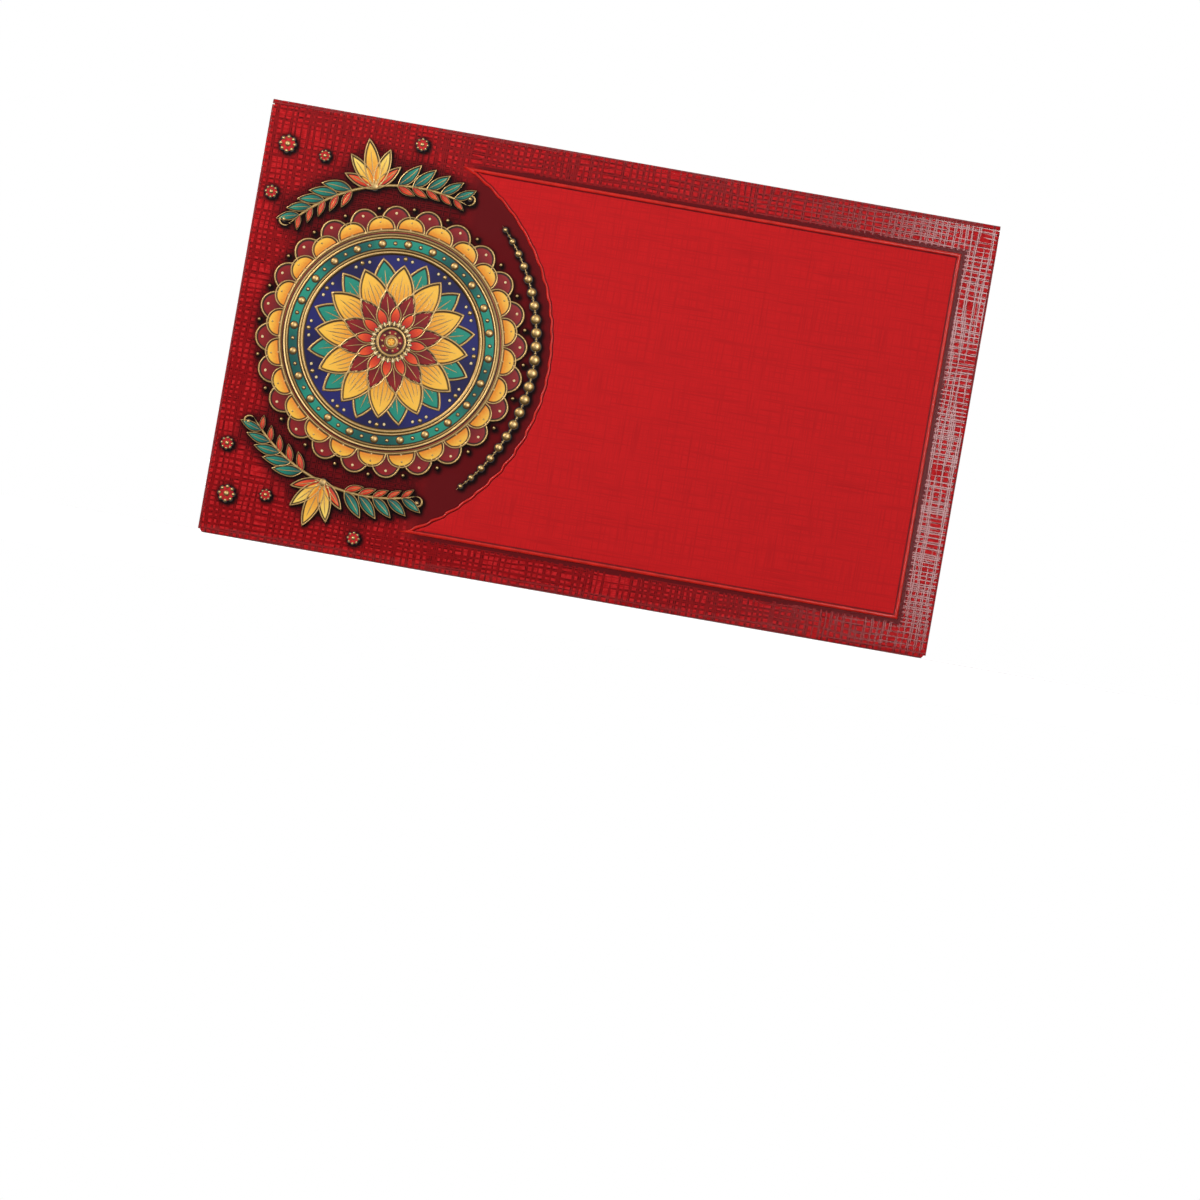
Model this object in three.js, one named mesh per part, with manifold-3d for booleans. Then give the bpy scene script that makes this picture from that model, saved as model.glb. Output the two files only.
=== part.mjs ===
// A gift money envelope, standing on its bottom fold. Millimetres, +Z up, the front faces -Y.
// One die-cut sheet of card makes it. Its panels, its rolled creases, its glue lines and its
// embossed fields are separate solids. The closing flap lies on the back and turns on the top fold.

import * as THREE from 'three';
import { mergeVertices } from 'three/addons/utils/BufferGeometryUtils.js';
import Module from 'manifold-3d';

const wasm = await Module();
wasm.setup();

// The folded envelope
const length = 185;
const height = 110;
const card = 0.35; // thickness of the card
const pocketRoom = 0.45; // space for the notes, in front of the side flaps
const glueFilm = 0.12;
const flapAir = 0.3; // air between the closed flap and the back
const creaseGap = 0.15; // between the top fold and the root of the flap
const cornerNotch = 0.35; // how far the side creases stop short of the other folds
const bottomNotch = 1; // how far the bottom crease stops short of the sides of the front
const flapSideInset = 0.1; // how far the flap lies inside the side edges

// The back
const sideFlapWidth = 15;
const sideFlapTaper = 7;
const glueWidth = 5;
const glueEndInset = 12;
const glueEdgeInset = 3; // from the side edge of the back to its glue
const backTopDrop = 12; // from the top of the envelope to the top edge of the back
const backSideInsetTop = 1.2;
const backSideInsetBottom = 2;
const backCorner = 4;
const slitDrop = 64.2; // from the top of the envelope
const slitLength = 52;
const slitWidth = 0.5;

// The closing flap: its scalloped edge runs from the side to the tip at the middle
const flapDepth = 70.8;
const flapSideDrop = 43;
const outerLobeSide = 13; // where each lobe ends, from the side of the envelope
const middleLobeSide = 27;
const innerLobeSide = 42;
const outerLobeDrop = 46; // and from its top
const middleLobeDrop = 53.8;
const innerLobeDrop = 63.8;
const outerLobeBulge = 0.27; // rise of each lobe as a share of its chord
const middleLobeBulge = 0.435;
const innerLobeBulge = 0.165;
const ogeeReach = 14; // length of the handle that leads out of the last lobe
const ogeeLift = 1.2;
const tipReach = 13; // length of the handle that leads into the tip
const tipLift = 8.8;

// The embossed fields
const emboss = 0.4; // how far beads and ornament stand proud of the card
const fieldRise = 0.15;
const beadWidth = 2;
const flapSideBorder = 9.2; // from the side of the flap to its field
const flapLift = 9.8; // from the scallops and the tip of the flap up to those of its field
const flapScallopShift = 6; // how much nearer the middle each scallop of the field sits
const flapSideLift = 7.3;
const flapTopBorder = 8.6;
const frontBorder = 8.6;
const arcTipInset = 49.5; // from the left edge to the two points of the front field
const arcBulge = 29.7;
const arcWavePitch = 6;
const arcWaveDepth = 0.6;

// The ornament on the front
const ornamentEdge = 5.5; // from the left edge to the lace rim
const ornamentGap = 0.7; // from the lace rim to the pearls along the arc
const reliefGap = 0.3; // between the rings of the ornament
const floorRise = 0.12; // lowest level of the ornament over the card
const railRise = 0.26;
const railWidth = 0.5;
const petalRise = 0.3;
const heartRise = 0.35;
const arcPearl = 2.6; // diameter of the largest pearl along the curved edge
const arcPearlLeast = 1.1;
const arcPearlRise = 0.28;
const arcPearlNeck = 0.34; // width of the rule that strings the pearls
const arcPearlInset = 3.4; // from the curved edge to the middle of those pearls
const arcPearlPitch = 3.4;
const arcPearlEnds = 0.17; // share of the arc that stays bare at each end
const laceWidth = 7.6;
const laceScallops = 24;
const scallopDepth = 2.3;
const innerScallopFoot = 1.7; // from the inner edge of the lace to the foot of its inner arches
const innerScallopReach = 2.4;
const bandWidth = 3.2;
const bandPearl = 1.84; // diameter of the large pearls, and a small one lies between each two
const bandPearlSmall = 0.8;
const bandPearls = 24;
const bloomPetals = 12;
const bloomRim = 0.9;
const bloomEye = 4.6; // radius of the eye of the bloom
const petalEdge = 0.25; // width of the sloping edge of a petal
const petalBelly = 0.75; // below 1 the sides of a petal swell
const backPetals = { tip: 1.6, valley: 7.5 }; // both from the rim of the bloom inwards
const frontPetals = { tip: 3.2, valley: 9.5 };
const heartPetals = { tip: 9.6, valley: 13.2 };
const sprayGap = 5; // from the lace rim to the stem
const sprayStart = 71; // degrees round the ornament
const sprayEnd = 141;
const stemWidth = 0.8;
const sprayRise = 0.24;
const leafLength = 8;
const leafWidth = 3.1;
const leafPairs = 5;
const leafLean = 35; // degrees between a leaf and the stem
const leafRoom = 0.12; // share of the stem between the palmette and the first pair
const innerLeaf = 0.64; // size of a leaf on the lace side of the stem, as a share
const leafShrink = 0.06; // what each pair further out loses, as a share
const palmetteLength = 12.6;
const palmetteWidth = 3.9;
const palmettePetals = 5;
const palmetteFan = 28.5; // degrees between its petals
const palmetteShrink = 0.16;

// Colours from the photograph
const glossRed = { color: 0xa3101c, roughness: 0.28, metalness: 0 };
const matteRed = { color: 0xc81e28, roughness: 0.7, metalness: 0 };
const adhesive = { color: 0xe9e2c8, roughness: 0.45, metalness: 0 };
const goldFoil = { color: 0xd9a441, roughness: 0.35, metalness: 0.8 };
const tealInk = { color: 0x1f6f6c, roughness: 0.5, metalness: 0 };
const creamInk = { color: 0xf0dcae, roughness: 0.5, metalness: 0 };

// Layers from front to back, worked out so that the whole is centred on y = 0
const thickness = 4 * card + pocketRoom + glueFilm + flapAir + 2 * emboss;
const frontFace = emboss - thickness / 2;
const frontInside = frontFace + card;
const sideFlapFront = frontInside + pocketRoom;
const sideFlapRear = sideFlapFront + card;
const backFront = sideFlapRear + glueFilm;
const backRear = backFront + card;
const flapFront = backRear + flapAir;
const flapRear = flapFront + card;

const sideRadius = (sideFlapRear - frontFace) / 2;
const bottomRadius = (backRear - frontFace) / 2;
const topRadius = (flapRear - frontFace) / 2;
const panelHalf = length / 2 - sideRadius;
const flapHalf = length / 2 - flapSideInset;
const hingeHeight = height - topRadius;
const hingeDepth = (frontFace + flapRear) / 2;

const envelope = new THREE.Group();

function addPart(name, geometry, finish, parent = envelope) {
  const mesh = new THREE.Mesh(geometry, new THREE.MeshStandardMaterial(finish));
  mesh.name = name;
  parent.add(mesh);
  return mesh;
}

// A flat plate: an outline in x and z, given thickness along y between two faces
function plate(shape, nearFace, farFace) {
  const geometry = new THREE.ExtrudeGeometry(shape, {
    depth: farFace - nearFace,
    bevelEnabled: false,
    curveSegments: 8,
  });
  geometry.rotateX(Math.PI / 2);
  geometry.translate(0, farFace, 0);
  return geometry;
}

function shapeOf(points) {
  return new THREE.Shape(points.map(([x, z]) => new THREE.Vector2(x, z)));
}

// A rolled crease: half a tube that joins two layers of card. It bulges one way and runs another.
function crease(outerRadius, run, bulge, along) {
  const ring = new THREE.Shape();
  ring.absarc(0, 0, outerRadius, 0, Math.PI, false);
  ring.absarc(0, 0, outerRadius - card, Math.PI, 0, true);
  const geometry = new THREE.ExtrudeGeometry(ring, {
    depth: run,
    bevelEnabled: false,
    curveSegments: 10,
  });
  geometry.translate(0, 0, -run / 2);
  const across = new THREE.Vector3().crossVectors(bulge, along);
  return geometry.applyMatrix4(new THREE.Matrix4().makeBasis(across, bulge, along));
}

// Points on a round stretch between two points; bulge is its rise as a share of the chord
function roundStretch(from, to, bulge, steps) {
  const chord = Math.hypot(to[0] - from[0], to[1] - from[1]);
  const rise = bulge * chord;
  const radius = (chord * chord / 4 + rise * rise) / (2 * rise);
  const along = [(to[0] - from[0]) / chord, (to[1] - from[1]) / chord];
  const outward = [along[1], -along[0]];
  const halfAngle = 2 * Math.atan(2 * bulge);
  const points = [];
  for (let i = 1; i <= steps; i += 1) {
    const angle = halfAngle * (2 * i / steps - 1);
    const run = chord / 2 + radius * Math.sin(angle);
    const out = rise - radius * (1 - Math.cos(angle));
    points.push([
      from[0] + along[0] * run + outward[0] * out,
      from[1] + along[1] * run + outward[1] * out,
    ]);
  }
  return points;
}

// The scalloped edge from one side to the tip: x from the middle, z up. Lobes, then an ogee.
function scallopedEdge(start, lobes, tip) {
  const points = [start];
  let last = start;
  for (const lobe of lobes) {
    points.push(...roundStretch(last, lobe.end, lobe.bulge, 8));
    last = lobe.end;
  }
  const ogee = new THREE.CubicBezierCurve(
    new THREE.Vector2(...last),
    new THREE.Vector2(last[0] + ogeeReach, last[1] + ogeeLift),
    new THREE.Vector2(tip[0] - tipReach, tip[1] + tipLift),
    new THREE.Vector2(...tip),
  );
  points.push(...ogee.getPoints(14).slice(1).map((p) => [p.x, p.y]));
  return points;
}

// A closed outline from its left half, which ends on the middle line
function mirrored(half) {
  const other = half.slice(0, -1).map(([x, z]) => [-x, z]).reverse();
  return [...half, ...other];
}

const flapLobes = [
  { fromSide: outerLobeSide, drop: outerLobeDrop, bulge: outerLobeBulge },
  { fromSide: middleLobeSide, drop: middleLobeDrop, bulge: middleLobeBulge },
  { fromSide: innerLobeSide, drop: innerLobeDrop, bulge: innerLobeBulge },
];

// The flap's outline, or the outline of its field when it is drawn in from the edge
function flapOutline(top, sideInset, sideDrop, shift, lift) {
  const side = sideInset - flapHalf;
  const lobes = flapLobes.map(({ fromSide, drop, bulge }) => ({
    end: [fromSide + shift - length / 2, height - drop + lift],
    bulge,
  }));
  const half = scallopedEdge([side, height - sideDrop], lobes, [0, height - flapDepth + lift]);
  return mirrored([[side, top], ...half]);
}

// The front field: three straight sides and a wavy arc that bulges into it
const frontArcChord = height - 2 * frontBorder;
const frontArcRadius = (frontArcChord ** 2 / 4 + arcBulge ** 2) / (2 * arcBulge);
const frontArcCentre = [arcTipInset + arcBulge - frontArcRadius - length / 2, height / 2];
const frontArcHalfAngle = 2 * Math.atan(2 * arcBulge / frontArcChord);

function frontFieldOutline() {
  const waves = Math.round(2 * frontArcHalfAngle * frontArcRadius / arcWavePitch);
  const steps = 6 * waves;
  const straightSide = length / 2 - frontBorder;
  const points = [[straightSide, height - frontBorder], [straightSide, frontBorder]];
  for (let i = 0; i <= steps; i += 1) {
    const angle = frontArcHalfAngle * (2 * i / steps - 1);
    const wave = (1 - Math.cos(2 * Math.PI * i * waves / steps)) * arcWaveDepth / 2;
    const reach = frontArcRadius + wave;
    points.push([
      frontArcCentre[0] + reach * Math.cos(angle),
      frontArcCentre[1] + reach * Math.sin(angle),
    ]);
  }
  return points;
}

function distanceToOutline(point, outline) {
  let least = Infinity;
  outline.forEach((a, i) => {
    const b = outline[(i + 1) % outline.length];
    const run = [b[0] - a[0], b[1] - a[1]];
    const size = run[0] ** 2 + run[1] ** 2;
    const dot = (point[0] - a[0]) * run[0] + (point[1] - a[1]) * run[1];
    const t = Math.min(1, Math.max(0, dot / size));
    least = Math.min(least, Math.hypot(point[0] - a[0] - t * run[0], point[1] - a[1] - t * run[1]));
  });
  return least;
}

// A clockwise outline drawn in by a distance, point for point. Near a sharp corner the points that
// the corner swallows move onto the corner's own inset point.
function insetOutline(outline, inset) {
  const count = outline.length;
  const isCorner = [];
  const moved = outline.map((here, i) => {
    const before = outline[(i + count - 1) % count];
    const after = outline[(i + 1) % count];
    const inAngle = Math.atan2(here[1] - before[1], here[0] - before[0]);
    const outAngle = Math.atan2(after[1] - here[1], after[0] - here[0]);
    const turn = Math.atan2(Math.sin(outAngle - inAngle), Math.cos(outAngle - inAngle));
    isCorner.push(turn < -0.6);
    const normal = inAngle + turn / 2 - Math.PI / 2;
    const reach = inset / Math.cos(turn / 2);
    return [here[0] + reach * Math.cos(normal), here[1] + reach * Math.sin(normal)];
  });
  return moved.map((point, i) => {
    if (isCorner[i] || distanceToOutline(point, outline) > 0.97 * inset) {
      return point;
    }
    for (let away = 1; away < count; away += 1) {
      const ahead = (i + away) % count;
      const behind = (i + count - away) % count;
      if (isCorner[ahead]) return moved[ahead];
      if (isCorner[behind]) return moved[behind];
    }
    return point;
  });
}

// A raised field with a round bead along its edge. out is -1 on the front and +1 on the back.
function embossedField(drawn, face, out) {
  const isClockwise = THREE.ShapeUtils.isClockWise(drawn.map((p) => new THREE.Vector2(...p)));
  const outline = isClockwise ? drawn : [...drawn].reverse();
  const crown = emboss - fieldRise;
  const profile = [
    [0, 0],
    [0, fieldRise],
    [0.2 * beadWidth, fieldRise + 0.8 * crown],
    [0.5 * beadWidth, emboss],
    [0.8 * beadWidth, fieldRise + 0.8 * crown],
    [beadWidth, fieldRise],
  ];
  const rings = profile.map(([inset, rise]) => ({
    points: inset ? insetOutline(outline, inset) : outline,
    y: face + out * rise,
  }));
  const count = outline.length;
  const positions = rings.flatMap(({ points, y }) => points.flatMap(([x, z]) => [x, y, z]));
  const faces = [];
  for (let ring = 0; ring + 1 < rings.length; ring += 1) {
    for (let i = 0; i < count; i += 1) {
      const a = ring * count + i;
      const b = ring * count + (i + 1) % count;
      faces.push([a, b, b + count], [a, b + count, a + count]);
    }
  }
  const cap = (ring, flip) => {
    const base = ring * count;
    // points that fell together count once, so that the cap has no folded sliver
    const kept = rings[ring].points.map((p, i) => i).filter((i) => {
      const p = rings[ring].points[i];
      const q = rings[ring].points[(i + count - 1) % count];
      return Math.hypot(p[0] - q[0], p[1] - q[1]) > 0.001;
    });
    const contour = kept.map((i) => new THREE.Vector2(...rings[ring].points[i]));
    for (const tri of THREE.ShapeUtils.triangulateShape(contour, [])) {
      const [a, b, c] = tri.map((k) => base + kept[k]);
      faces.push(flip ? [a, c, b] : [a, b, c]);
    }
  };
  cap(0, false);
  cap(rings.length - 1, true);
  return closedGeometry(positions, faces);
}

// An indexed solid from loose triangles: points that lie together are merged, collapsed triangles
// are dropped, and all faces are turned over if the volume comes out negative.
function closedGeometry(positions, faces) {
  const loose = new THREE.BufferGeometry();
  loose.setAttribute('position', new THREE.Float32BufferAttribute(positions, 3));
  loose.setIndex(faces.flat());
  const merged = mergeVertices(loose, 0.001);
  const old = merged.index.array;
  const index = [];
  let volume = 0;
  const at = (k) => new THREE.Vector3().fromBufferAttribute(merged.attributes.position, k);
  for (let i = 0; i < old.length; i += 3) {
    const [a, b, c] = [old[i], old[i + 1], old[i + 2]];
    if (a === b || b === c || c === a) continue;
    index.push(a, b, c);
    volume += at(a).dot(at(b).cross(at(c)));
  }
  if (volume < 0) index.reverse();
  merged.setIndex(index);
  merged.computeVertexNormals();
  return merged;
}

// A relief that goes round a centre on the front face. sectionAt gives [radius, rise] points for an
// angle: an open section starts and ends at the centre, and a closed one makes a ring.
function roundRelief(centre, sectionAt, steps, isRing) {
  const positions = [];
  const faces = [];
  const size = sectionAt(0).length;
  for (let j = 0; j < steps; j += 1) {
    const angle = (2 * Math.PI * j) / steps;
    for (const [radius, rise] of sectionAt(angle)) {
      positions.push(
        centre[0] + radius * Math.cos(angle),
        frontFace - rise,
        centre[1] + radius * Math.sin(angle),
      );
    }
    const next = (j + 1) % steps;
    const spans = isRing ? size : size - 1;
    for (let i = 0; i < spans; i += 1) {
      const a = j * size + i;
      const b = next * size + i;
      const c = next * size + (i + 1) % size;
      const d = j * size + (i + 1) % size;
      faces.push([a, b, c], [a, c, d]);
    }
  }
  return closedGeometry(positions, faces);
}

function toSolid(geometry) {
  const bare = geometry.clone();
  bare.deleteAttribute('normal');
  bare.deleteAttribute('uv');
  const merged = mergeVertices(bare, 0.0005);
  return new wasm.Manifold(new wasm.Mesh({
    numProp: 3,
    vertProperties: Float32Array.from(merged.attributes.position.array),
    triVerts: Uint32Array.from(merged.index.array),
  }));
}

function joined(geometries) {
  const whole = geometries.map(toSolid).reduce((sum, solid) => sum.add(solid));
  const mesh = whole.getMesh();
  const geometry = new THREE.BufferGeometry();
  geometry.setAttribute('position', new THREE.Float32BufferAttribute(mesh.vertProperties, 3));
  geometry.setIndex(Array.from(mesh.triVerts));
  geometry.computeVertexNormals();
  return geometry;
}

// The ornament fills the room between the left edge and the pearls along the arc
const laceRight = arcTipInset + arcBulge - arcPearlInset - arcPearl / 2 - ornamentGap;
const laceRadius = (laceRight - ornamentEdge) / 2;
const bloomCentre = [(laceRight + ornamentEdge) / 2 - length / 2, height / 2];
const laceInner = laceRadius - laceWidth;
const bandOuter = laceInner - reliefGap;
const bandInner = bandOuter - bandWidth;
const bloomRadius = bandInner - reliefGap;

// How far a circle of pointed petals reaches at an angle. The first tip stands at the given start.
function petalReach(angle, petals, start) {
  const place = (angle - start) * bloomPetals / (2 * Math.PI);
  const off = 2 * Math.abs(place - Math.round(place));
  const fullness = (1 - off) ** petalBelly;
  return bloomRadius - petals.valley + (petals.valley - petals.tip) * fullness;
}

// A rimmed disc with two circles of large petals, a circle of small ones and a domed eye
function bloomSection(angle) {
  const between = Math.PI / bloomPetals;
  const outer = Math.max(petalReach(angle, backPetals, between), petalReach(angle, frontPetals, 0));
  const heart = petalReach(angle, heartPetals, between);
  return [
    [0, 0],
    [bloomRadius, 0],
    [bloomRadius, railRise],
    [bloomRadius - railWidth, railRise],
    [bloomRadius - bloomRim, floorRise],
    [outer, floorRise],
    [outer - petalEdge, petalRise],
    [heart, petalRise],
    [heart - petalEdge, heartRise],
    [bloomEye, petalRise],
    [bloomEye - petalEdge, emboss],
    [0, emboss],
  ];
}

// A band between two rails, with large and small pearls in turn along its middle
function pearlBandSection(angle) {
  const place = angle * bandPearls / Math.PI;
  const nearest = Math.round(place);
  const size = nearest % 2 ? bandPearlSmall : bandPearl;
  const off = (place - nearest) * Math.PI * (bandInner + bandOuter) / (2 * bandPearls);
  const half = Math.sqrt(Math.max(0, size * size / 4 - off * off));
  const middle = (bandInner + bandOuter) / 2;
  const crown = floorRise + (emboss - floorRise) * half * 2 / bandPearl;
  return [
    [bandInner, 0],
    [bandOuter, 0],
    [bandOuter, railRise],
    [bandOuter - railWidth, floorRise],
    [middle + Math.max(half, railWidth / 4), floorRise],
    [middle, crown],
    [middle - Math.max(half, railWidth / 4), floorRise],
    [bandInner + railWidth, floorRise],
    [bandInner, railRise],
  ];
}

// Two rows of arches, the inner ones standing before the gaps of the outer ones
function laceSection(angle) {
  const outerArch = Math.abs(Math.sin(angle * laceScallops / 2));
  const innerArch = Math.abs(Math.cos(angle * laceScallops / 2));
  const outer = laceRadius - scallopDepth * (1 - outerArch ** petalBelly);
  const inner = laceInner + innerScallopFoot + innerScallopReach * innerArch ** petalBelly;
  return [
    [laceInner, 0],
    [outer, 0],
    [outer, railRise],
    [outer - railWidth, railRise],
    [outer - railWidth - petalEdge, floorRise],
    [inner, floorRise],
    [inner - petalEdge, petalRise],
    [laceInner, petalRise],
  ];
}

// Raised pearls on a thin rule along the field's curved edge, smaller towards both ends
function arcPearlString() {
  const reach = frontArcRadius - arcPearlInset;
  const halfAngle = frontArcHalfAngle * (1 - 2 * arcPearlEnds);
  const pearls = Math.round(2 * halfAngle * reach / arcPearlPitch);
  const steps = 6 * pearls;
  const pitch = 2 * halfAngle * reach / pearls;
  const rim = (side) => Array.from({ length: steps + 1 }, (_, i) => {
    const share = 2 * i / steps - 1;
    const nearest = Math.round(i * pearls / steps);
    const grade = Math.cos((2 * nearest / pearls - 1) * Math.PI / 2);
    const size = arcPearlLeast + (arcPearl - arcPearlLeast) * grade;
    const off = (i * pearls / steps - nearest) * pitch;
    const swell = Math.sqrt(Math.max(0, size * size / 4 - off * off));
    const radius = reach + side * Math.max(swell, arcPearlNeck / 2);
    return [
      frontArcCentre[0] + radius * Math.cos(halfAngle * share),
      frontArcCentre[1] + radius * Math.sin(halfAngle * share),
    ];
  });
  return plate(shapeOf([...rim(1), ...rim(-1).reverse()]), frontFace - arcPearlRise, frontFace);
}

function leafShape(size, width) {
  const leaf = new THREE.Shape();
  leaf.moveTo(0, 0);
  leaf.quadraticCurveTo(0.45 * size, width, size, 0);
  leaf.quadraticCurveTo(0.45 * size, -width, 0, 0);
  return leaf;
}

function leafAt(size, width, angle, place) {
  const geometry = new THREE.ExtrudeGeometry(leafShape(size, width), {
    depth: sprayRise,
    bevelEnabled: false,
    curveSegments: 5,
  });
  geometry.rotateZ(angle);
  geometry.rotateX(Math.PI / 2);
  geometry.translate(place[0], frontFace, place[1]);
  return geometry;
}

// A leaf spray that follows the lace rim in a corner, with a palmette that points into the corner.
// turn is +1 for the upper corner and -1 for the lower one.
function leafSpray(turn) {
  const reach = laceRadius + sprayGap;
  const start = THREE.MathUtils.degToRad(sprayStart);
  const end = THREE.MathUtils.degToRad(sprayEnd);
  const middle = (start + end) / 2;
  const lean = THREE.MathUtils.degToRad(leafLean);
  const placeAt = (angle, radius) => [
    bloomCentre[0] + radius * Math.cos(turn * angle),
    bloomCentre[1] + radius * Math.sin(turn * angle),
  ];
  const stemSteps = 16;
  const rim = (radius) => Array.from({ length: stemSteps + 1 }, (_, i) => (
    placeAt(start + (end - start) * i / stemSteps, radius)
  ));
  const stem = shapeOf([...rim(reach + stemWidth / 2), ...rim(reach - stemWidth / 2).reverse()]);
  const pieces = [plate(stem, frontFace - sprayRise, frontFace)];
  for (let pair = 0; pair < leafPairs; pair += 1) {
    const along = leafRoom + (0.5 - leafRoom) * pair / leafPairs;
    for (const half of [-1, 1]) {
      const angle = middle + half * (end - start) * along;
      const heading = turn * (angle + half * Math.PI / 2);
      for (const side of [-1, 1]) {
        const isInner = half * side > 0;
        const size = (isInner ? innerLeaf : 1) * (1 - leafShrink * pair);
        const leafHeading = heading + turn * side * lean;
        pieces.push(leafAt(size * leafLength, size * leafWidth, leafHeading, placeAt(angle, reach)));
      }
    }
  }
  for (let petal = 0; petal < palmettePetals; petal += 1) {
    const off = petal - (palmettePetals - 1) / 2;
    const size = 1 - palmetteShrink * Math.abs(off);
    const heading = turn * (middle + off * THREE.MathUtils.degToRad(palmetteFan));
    const root = placeAt(middle, reach - stemWidth / 4);
    pieces.push(leafAt(size * palmetteLength, size * palmetteWidth, heading, root));
  }
  return joined(pieces);
}

// Pocket: front, creases, side flaps, glue, back
const frontCard = shapeOf([
  [-panelHalf, bottomRadius],
  [panelHalf, bottomRadius],
  [panelHalf, hingeHeight],
  [-panelHalf, hingeHeight],
]);
addPart('front_panel', plate(frontCard, frontFace, frontInside), glossRed);

const right = new THREE.Vector3(1, 0, 0);
const up = new THREE.Vector3(0, 0, 1);
const down = up.clone().negate();
const bottomCrease = crease(bottomRadius, 2 * (panelHalf - bottomNotch), down, right);
addPart('bottom_fold', bottomCrease, glossRed)
  .position.set(0, (frontFace + backRear) / 2, bottomRadius);
addPart('top_fold', crease(topRadius, 2 * flapHalf, up, right), glossRed)
  .position.set(0, hingeDepth, hingeHeight);

const sideLow = bottomRadius + cornerNotch;
const sideHigh = hingeHeight - cornerNotch;
for (const [side, sign] of [['left', -1], ['right', 1]]) {
  const outward = right.clone().multiplyScalar(sign);
  const sideCrease = crease(sideRadius, sideHigh - sideLow, outward, up);
  addPart(`${side}_side_fold`, sideCrease, glossRed)
    .position.set(sign * panelHalf, (frontFace + sideFlapRear) / 2, (sideLow + sideHigh) / 2);

  const flapInner = panelHalf - sideFlapWidth;
  const sideFlap = shapeOf([
    [sign * panelHalf, sideLow],
    [sign * panelHalf, sideHigh],
    [sign * flapInner, sideHigh - sideFlapTaper],
    [sign * flapInner, sideLow + sideFlapTaper],
  ]);
  addPart(`${side}_side_flap`, plate(sideFlap, sideFlapFront, sideFlapRear), glossRed);

  const glueOuter = length / 2 - backSideInsetBottom - glueEdgeInset;
  const glueLine = shapeOf([
    [sign * glueOuter, sideLow + glueEndInset],
    [sign * glueOuter, height - backTopDrop - glueEndInset],
    [sign * (glueOuter - glueWidth), height - backTopDrop - glueEndInset],
    [sign * (glueOuter - glueWidth), sideLow + glueEndInset],
  ]);
  addPart(`${side}_glue_line`, plate(glueLine, sideFlapRear, backFront), adhesive);
}

const backTop = height - backTopDrop;
const backHalfTop = length / 2 - backSideInsetTop;
const backHalfBottom = length / 2 - backSideInsetBottom;
const backShape = new THREE.Shape();
backShape.moveTo(-backHalfBottom, bottomRadius);
backShape.lineTo(backHalfBottom, bottomRadius);
backShape.lineTo(backHalfTop, backTop - backCorner);
backShape.quadraticCurveTo(backHalfTop, backTop, backHalfTop - backCorner, backTop);
backShape.lineTo(backCorner - backHalfTop, backTop);
backShape.quadraticCurveTo(-backHalfTop, backTop, -backHalfTop, backTop - backCorner);
const slit = new THREE.Path();
const slitEnd = (slitLength - slitWidth) / 2;
slit.absarc(slitEnd, height - slitDrop, slitWidth / 2, -Math.PI / 2, Math.PI / 2, false);
slit.absarc(-slitEnd, height - slitDrop, slitWidth / 2, Math.PI / 2, 1.5 * Math.PI, false);
backShape.holes.push(slit);
addPart('back_panel', plate(backShape, backFront, backRear), glossRed);

// Embossed front
addPart('front_field', embossedField(frontFieldOutline(), frontFace, -1), matteRed);
addPart('medallion', roundRelief(bloomCentre, bloomSection, 10 * bloomPetals, false), goldFoil);
addPart('pearl_band', roundRelief(bloomCentre, pearlBandSection, 8 * bandPearls, true), creamInk);
addPart('lace_rim', roundRelief(bloomCentre, laceSection, 6 * laceScallops, true), goldFoil);
addPart('arc_pearls', arcPearlString(), goldFoil);
addPart('upper_spray', leafSpray(1), tealInk);
addPart('lower_spray', leafSpray(-1), tealInk);

// The closing flap, closed: it turns on the middle line of the top fold
const flapRoot = hingeHeight - creaseGap;
const closingFlap = new THREE.Group();
closingFlap.position.set(0, hingeDepth, hingeHeight);
envelope.add(closingFlap);
const flapPlate = plate(shapeOf(flapOutline(flapRoot, 0, flapSideDrop, 0, 0)), flapFront, flapRear);
flapPlate.translate(0, -hingeDepth, -hingeHeight);
addPart('closing_flap', flapPlate, glossRed, closingFlap);
const fieldOutline = flapOutline(
  height - flapTopBorder,
  flapSideBorder,
  flapSideDrop - flapSideLift,
  flapScallopShift,
  flapLift,
);
const flapField = embossedField(fieldOutline, flapRear, 1);
flapField.translate(0, -hingeDepth, -hingeHeight);
addPart('flap_field', flapField, matteRed, closingFlap);

export default envelope;
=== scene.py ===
# A gift money envelope of embossed and varnished card, made ready for its picture.
# Lengths on the card are in millimetres. Meshes, lamps and the camera are in metres.
import math
import random

import bmesh
import bpy
import numpy as np
from mathutils import Matrix, Vector
from mathutils.geometry import delaunay_2d_cdt


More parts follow.
